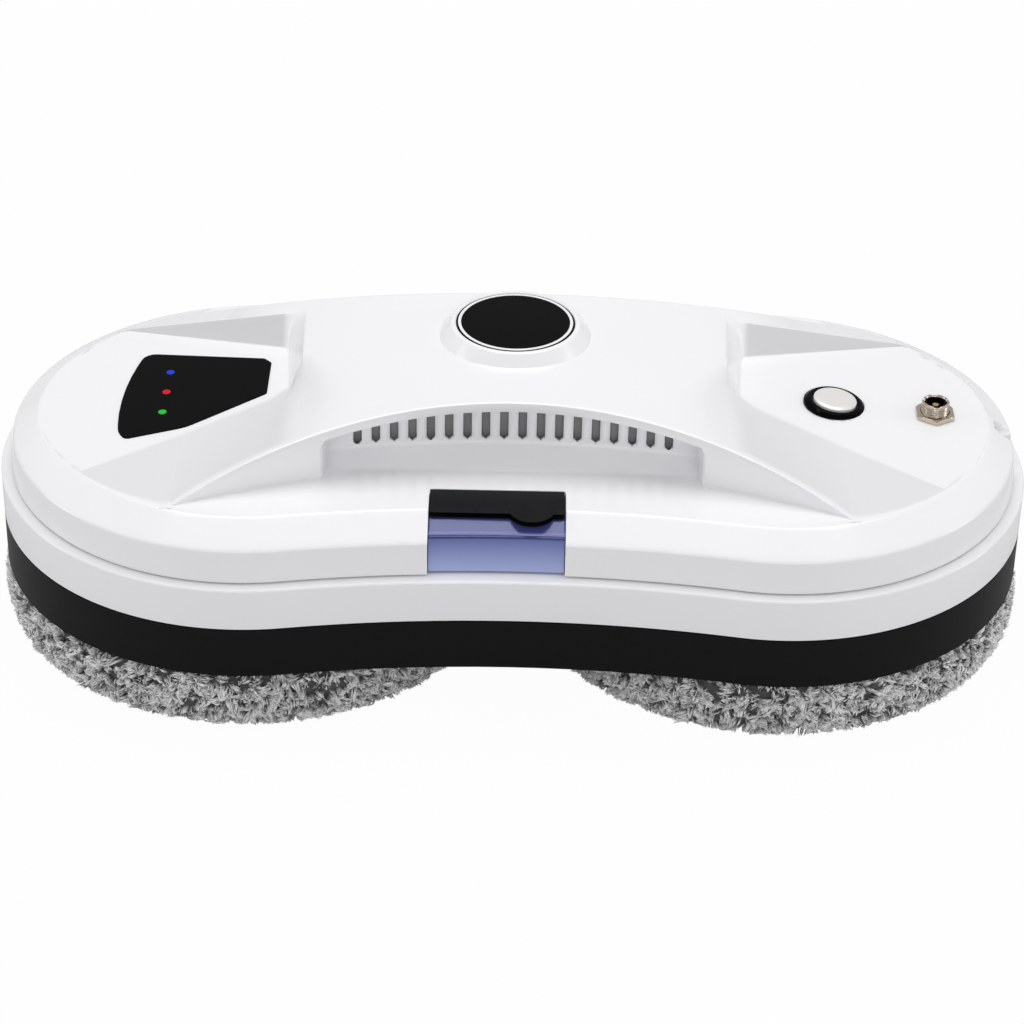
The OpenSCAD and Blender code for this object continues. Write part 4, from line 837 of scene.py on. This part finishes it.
def fleece(name, light, shade=None):
    """Rough fabric with sheen: a mix of dark and light by a number on the points, or else by the noise."""
    material, tree, shader = new_material(name, Roughness=0.9, Sheen_Weight=0.3, Sheen_Roughness=0.5)
    fluff = part = noise(tree, 420.0, 4.0)
    if shade:
        given = tree.nodes.new("ShaderNodeAttribute")
        given.attribute_name = shade
        part = given.outputs["Fac"]
    blend = tree.nodes.new("ShaderNodeMix")
    blend.data_type = "RGBA"
    feed(tree, (blend.inputs["Factor"], part), (blend.inputs["A"], (*FLEECE_DARK, 1)),
         (blend.inputs["B"], (*light, 1)), (shader.inputs["Base Color"], blend.outputs["Result"]))
    relief(tree, fluff, 0.6, 0.001)
    return material


# The backing is near black: it shows in the gaps between the locks as painted shade.
BODY_FLEECE = fleece("pad_backing", (0.16, 0.16, 0.165))
PILE_FLEECE = fleece("pad_pile", (1.0, 1.0, 1.0), "pile_tone_and_painted_light")
print("fleece:", BODY_FLEECE.name, PILE_FLEECE.name)

# %% [markdown]
# The pad's body is a turned shape with soft lumps. Its side swells from the sole to the hem, and the pile
# stands on the same line.

# %% The pad's body
SIDE_ROWS, PAD_AROUND = 30, 220
PAD_SIDE = np.array([(62.0, 1.2), (65.0, 1.0), (67.6, 1.2), (69.4, 2.6), (70.5, 5.2), (71.0, 8.5), (71.1, 11.5),
                     (70.7, 14.0), (69.6, 15.8), (68.0, 16.8), (66.8, 17.1)])
PAD_INSIDE = [(66.6, 16.8), (66.6, 15.4), (70.1, 15.2), (70.1, 5.3), (56, 5.15), (42.2, 5.15), (42.0, 4.0),
              (42.0, 1.2), (43.0, 0.1), (52, 0.0), (62.0, 0.0)]


def side_at(t):
    """Radius and height of the pad's side at t from 0, under the sole, to 1, at the hem."""
    way = np.concatenate([[0], np.cumsum(np.linalg.norm(np.diff(PAD_SIDE, axis=0), axis=1))])
    return [np.interp(t * way[-1], way, column) for column in PAD_SIDE.T]


def pad_body(side):
    """The side and the inside in one ring; its lumps are sums of sine waves of the angle and of the row."""
    profile = np.concatenate([np.stack(side_at(np.linspace(0, 1, SIDE_ROWS)), 1), PAD_INSIDE])
    points = turned(profile, (side * LOBE_X, 0, 0), PAD_AROUND)
    w = angles(PAD_AROUND)
    k = np.arange(len(profile))[:, None]
    lump = 0.35 * np.sin(23 * w + 0.9 * k + side) + 0.3 * np.sin(41 * w - 1.7 * k) + 0.25 * np.sin(67 * w + 2.3 * k)
    lump = lump * np.where(k < SIDE_ROWS, np.sin(np.pi * np.clip(k / (SIDE_ROWS - 1), 0, 1)), 0)
    outward = np.stack([np.cos(w), np.sin(w), 0 * w], 1)
    return points + outward * lump[..., None]


print("pad side half way up:", [round(float(v), 1) for v in side_at(0.5)])

# %% [markdown]
# The pile is many flat tapering strands in locks: the strands of a lock lean to one tip, as wet or brushed
# plush does. Round hairs would be far too heavy. Lengths and leans are drawn at random, from the same start
# each time.

# %% The pile
LOCKS, STRANDS = 4200, 11
LOWEST, HIGHEST = 0.15, 17.8
# Painted light along each strand: painted shade at the two root points, a painted highlight at the tip.
ROOT_SHADE_TIP_HIGHLIGHT = np.array([-0.75, -0.75, 0.15, 0.15, 0.9])  # added to the shade at each of the five points


def on_side(side, t, w):
    """Place on the pad's side at t and angle w, with the directions outward, up the side and round the pad."""
    run = np.subtract(side_at(np.clip(t + 0.02, 0, 1)), side_at(np.clip(t - 0.02, 0, 1)))
    (r, z), (dr, dz), c, s = side_at(t), run / np.linalg.norm(run, axis=0), np.cos(w), np.sin(w)
    return [np.stack(columns, 1) for columns in (
        [side * LOBE_X + r * c, r * s, z], [dz * c, dz * s, -dr], [dr * c, dr * s, dz], [-s, c, 0 * c])]


def pile(side, locks, each):
    """Strands as tapering ribbons of five points: two at the root, two half way and one at the tip.

    The roots of a lock scatter round its place on the side, and the tips gather where the lock leans.
    """
    rng = np.random.default_rng(40 + side)
    t0, w0 = rng.uniform(0.02, 0.98, locks), rng.uniform(0, 2 * math.pi, locks)
    lean = rng.normal(0, 1, (locks, 2))
    tone = rng.uniform(0, 1, locks)
    t = np.clip(np.repeat(t0, each) + rng.normal(0, 0.028, locks * each), 0, 1)
    w = np.repeat(w0, each) + rng.normal(0, 0.011, locks * each)
    root, normal = on_side(side, t, w)[:2]
    middle, lock_normal, lock_along, lock_around = (np.repeat(v, each, 0) for v in on_side(side, t0, w0))
    long = rng.uniform(1.5, 2.5, locks * each)[:, None]
    bend = np.repeat(lean, each, 0)
    tip = middle + lock_normal * long + lock_along * bend[:, :1] * 1.3 + lock_around * bend[:, 1:] * 1.6
    tip = tip + (root - middle) * 0.45 + rng.normal(0, 0.22, root.shape)
    half_way = mix(root, tip, 0.5) + normal * rng.uniform(0.3, 0.9, (len(root), 1))
    for line in (tip, half_way):
        line[:, 2] = np.clip(line[:, 2], LOWEST, HIGHEST)
    across = np.cross(tip - root, rng.normal(0, 1, root.shape))
    across /= np.linalg.norm(across, axis=1)[:, None]
    wide = across * rng.uniform(0.26, 0.46, (len(root), 1))
    five = np.stack([root - wide, root + wide, half_way + wide * 0.8, half_way - wide * 0.8, tip], 1)
    first = np.arange(len(root))[:, None] * 5
    # Each strand's shade: the random tone of its lock and its own, plus the painted root shade and tip highlight.
    shade = np.clip(0.3 + 0.85 * np.repeat(tone, each) + rng.normal(0, 0.16, len(root)), 0, 1)[:, None] + ROOT_SHADE_TIP_HIGHLIGHT
    return five.reshape(-1, 3), first + [0, 1, 2, 3], first + [3, 2, 4], np.clip(shade, 0, 1).ravel()


def make_pad(side, label):
    """Body and pile of one pad; the pile is its own piece and rides on the same wheel."""
    wheel = label + "_wheel"
    points = pad_body(side)
    body = make_piece("pad_" + label + "_body", points, grid_faces(*points.shape[:2], True, True), wheel, BODY_FLEECE,
                      ["pad_" + label])
    points, four, three, shade = pile(side, LOCKS, STRANDS)
    mesh = bpy.data.meshes.new("pad_" + label + "_pile")
    mesh.from_pydata((points * MM).tolist(), [], four.tolist() + three.tolist())
    number_per_point(mesh, "pile_tone_and_painted_light", shade)
    mesh.shade_smooth()
    mesh.materials.append(PILE_FLEECE)
    strands = in_scene(mesh.name, mesh)
    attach(strands, wheel)
    print(mesh.name, len(mesh.polygons), "faces")


for side, label in ((-1, "left"), (1, "right")):
    make_pad(side, label)

# %% [markdown]
# ## The pieces that keep their CAD shape
# The black base and the inner pieces are right as they are, so they only get their finish. Each gets the
# colour of its real material with the shared grain.

# %% Finish the kept pieces
def both(kind):
    """The left and the right piece of a kind."""
    return [kind + "_left", kind + "_right"]


KEPT = [
    (BLACK, ["base_shell"]),
    (finish("inner_black", (0.03, 0.03, 0.032), 0.6, bump=0.1), [
        "button_switch", "water_pump", "air_duct", "fan_housing", "jack_insulator", *both("wheel"),
        *both("wheel_retainer"), *both("gearbox")]),
    (finish("acetal", (0.72, 0.70, 0.64), 0.42), ["fan_impeller", *both("wheel_gear"), *both("pinion")]),
    (finish("bush_acetal", (0.55, 0.24, 0.06), 0.45), both("wheel_bush")),
    (finish("plated_steel", (0.55, 0.55, 0.57), 0.3, metallic=1.0, mottle=0.12), [
        "lid_hinge_pin", "case_screws", "retainer_screws", "fan_motor", *both("drive_motor")]),
    (finish("circuit_board", (0.02, 0.16, 0.06), 0.4, coat=0.3, mottle=0.25, fine=900), ["led_board", "main_board"]),
    (finish("cell_wrap", (0.05, 0.16, 0.5), 0.35, coat=0.3), ["battery_pack"]),
    (finish("soft_seal", (0.05, 0.05, 0.05), 0.8, fine=1200, bump=0.2), ["lid_gasket", "fan_gasket"]),
    (finish("silicone_hose", (0.62, 0.62, 0.62), 0.5), ["tank_tube", "hose"]),
    (finish("nozzle_plastic", (0.55, 0.55, 0.56), 0.4), ["nozzle"]),
    (finish("hook_tape", (0.04, 0.04, 0.045), 0.9, fine=700, mottle=0.4, bump=0.8), both("hook_ring")),
    (finish("brass_pin", (0.7, 0.5, 0.2), 0.25, metallic=1.0), ["jack_pin"]),
]
for material, names in KEPT:
    for name in names:
        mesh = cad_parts[name].data
        mesh.materials.clear()
        mesh.materials.append(material)
print("kept pieces:", sum(len(names) for material, names in KEPT))

# %% [markdown]
# ## Floor, light and camera
# The photo has a white ground and soft light from above and the front. A large white plane is
# the floor. It would turn grey away from the lamps, so a camera ray sees mostly plain white there.

# %% Floor
FLOOR_HALF, PLAIN_WHITE = 6.0, 0.97


def studio_white():
    """Matt white floor: a camera ray sees PLAIN_WHITE of a plain white ground and the rest of its own shade."""
    material, tree, shader = new_material("floor_white", Base_Color=(0.68, 0.68, 0.68, 1), Roughness=0.9,
                                          Specular_IOR_Level=0.0)
    ground, path, blend = (tree.nodes.new("ShaderNode" + kind) for kind in ("Emission", "LightPath", "MixShader"))
    part = maths(tree, "MULTIPLY", path.outputs["Is Camera Ray"], PLAIN_WHITE)
    feed(tree, *zip(blend.inputs, (part, shader.outputs["BSDF"], ground.outputs["Emission"])),
         (tree.nodes["Material Output"].inputs["Surface"], blend.outputs[0]))
    return material


floor_mesh = bpy.data.meshes.new("floor")
floor_mesh.from_pydata([(x * FLOOR_HALF, y * FLOOR_HALF, 0) for x, y in ((-1, -1), (1, -1), (1, 1), (-1, 1))], [],
                       [(0, 1, 2, 3)])
floor_mesh.materials.append(studio_white())
in_scene("floor", floor_mesh)
print("floor,", 2 * FLOOR_HALF, "m square")

# %% [markdown]
# A softly lit world and four wide lamps, above, in front, left and right, give the broad lights that show on
# gloss plastic. The camera's own rays see the world as plain white.

# %% World and lamps
SKY_LEVEL, LIT = 0.50, (0, 0, 0.05)
LAMPS = (("top_light", (0, 0.32, 1.28), 1.1, 0.7, 8.0), ("front_light", (0.1, -1.3, 0.75), 1.2, 0.5, 3.3),
         ("left_light", (-1.2, 0.0, 0.3), 0.35, 0.8, 1.9), ("right_light", (1.2, 0.0, 0.3), 0.35, 0.8, 1.9))

world = bpy.data.worlds.new("studio")
world.use_nodes = True
bpy.context.scene.world = world
sky = world.node_tree.nodes["Background"]
path, level = (world.node_tree.nodes.new("ShaderNode" + kind) for kind in ("LightPath", "MapRange"))
feed(world.node_tree, (sky.inputs["Color"], (1, 1, 1, 1)), (level.inputs["To Min"], SKY_LEVEL),
     (level.inputs["Value"], path.outputs["Is Camera Ray"]), (sky.inputs["Strength"], level.outputs["Result"]))
for name, place, wide, deep, power in LAMPS:
    light = bpy.data.lights.new(name, "AREA")
    light.shape, light.size, light.size_y, light.energy = "RECTANGLE", wide, deep, power
    lamp = in_scene(name, light)
    lamp.location = place
    lamp.rotation_euler = Vector(np.subtract(LIT, place)).to_track_quat("-Z", "Y").to_euler()
print("lamps:", len(LAMPS))

# %% [markdown]
# The camera stands where the photo was taken from. Its place, its small roll and its focal length come from a
# fit to the outline.

# %% Camera
AZIMUTH, ELEVATION, ROLL = (math.radians(degrees) for degrees in (0.06, 32.65, 1.12))
FRAME, FOCAL, SHIFT = 1024, 3095, (-0.03, -8.2)  # pixels
AIM, DISTANCE, SENSOR = np.array([0, 0, 0.030]), 0.905, 36.0


def camera_like_photo():
    """The roll turns the right and up axes about the view; the lens is focal length over frame times sensor."""
    ahead = np.array([-math.sin(AZIMUTH) * math.cos(ELEVATION), math.cos(AZIMUTH) * math.cos(ELEVATION),
                      -math.sin(ELEVATION)])
    right = np.array([math.cos(AZIMUTH), math.sin(AZIMUTH), 0])
    up = np.cross(right, ahead)
    matrix = np.eye(4)
    matrix[:3, 0] = math.cos(ROLL) * right + math.sin(ROLL) * up
    matrix[:3, 1] = math.cos(ROLL) * up - math.sin(ROLL) * right
    matrix[:3, 2], matrix[:3, 3] = -ahead, AIM - ahead * DISTANCE
    data = bpy.data.cameras.new("camera")
    data.sensor_width, data.lens = SENSOR, FOCAL / FRAME * SENSOR
    data.shift_x, data.shift_y = (pixels / FRAME for pixels in SHIFT)
    data.clip_start, data.clip_end = 0.05, 50
    camera = in_scene("camera", data)
    camera.matrix_world = Matrix(matrix.tolist())
    return camera


bpy.context.scene.camera = camera_like_photo()
bpy.context.scene.view_settings.view_transform = "Standard"
print("lens", round(FOCAL / FRAME * SENSOR, 1), "mm")
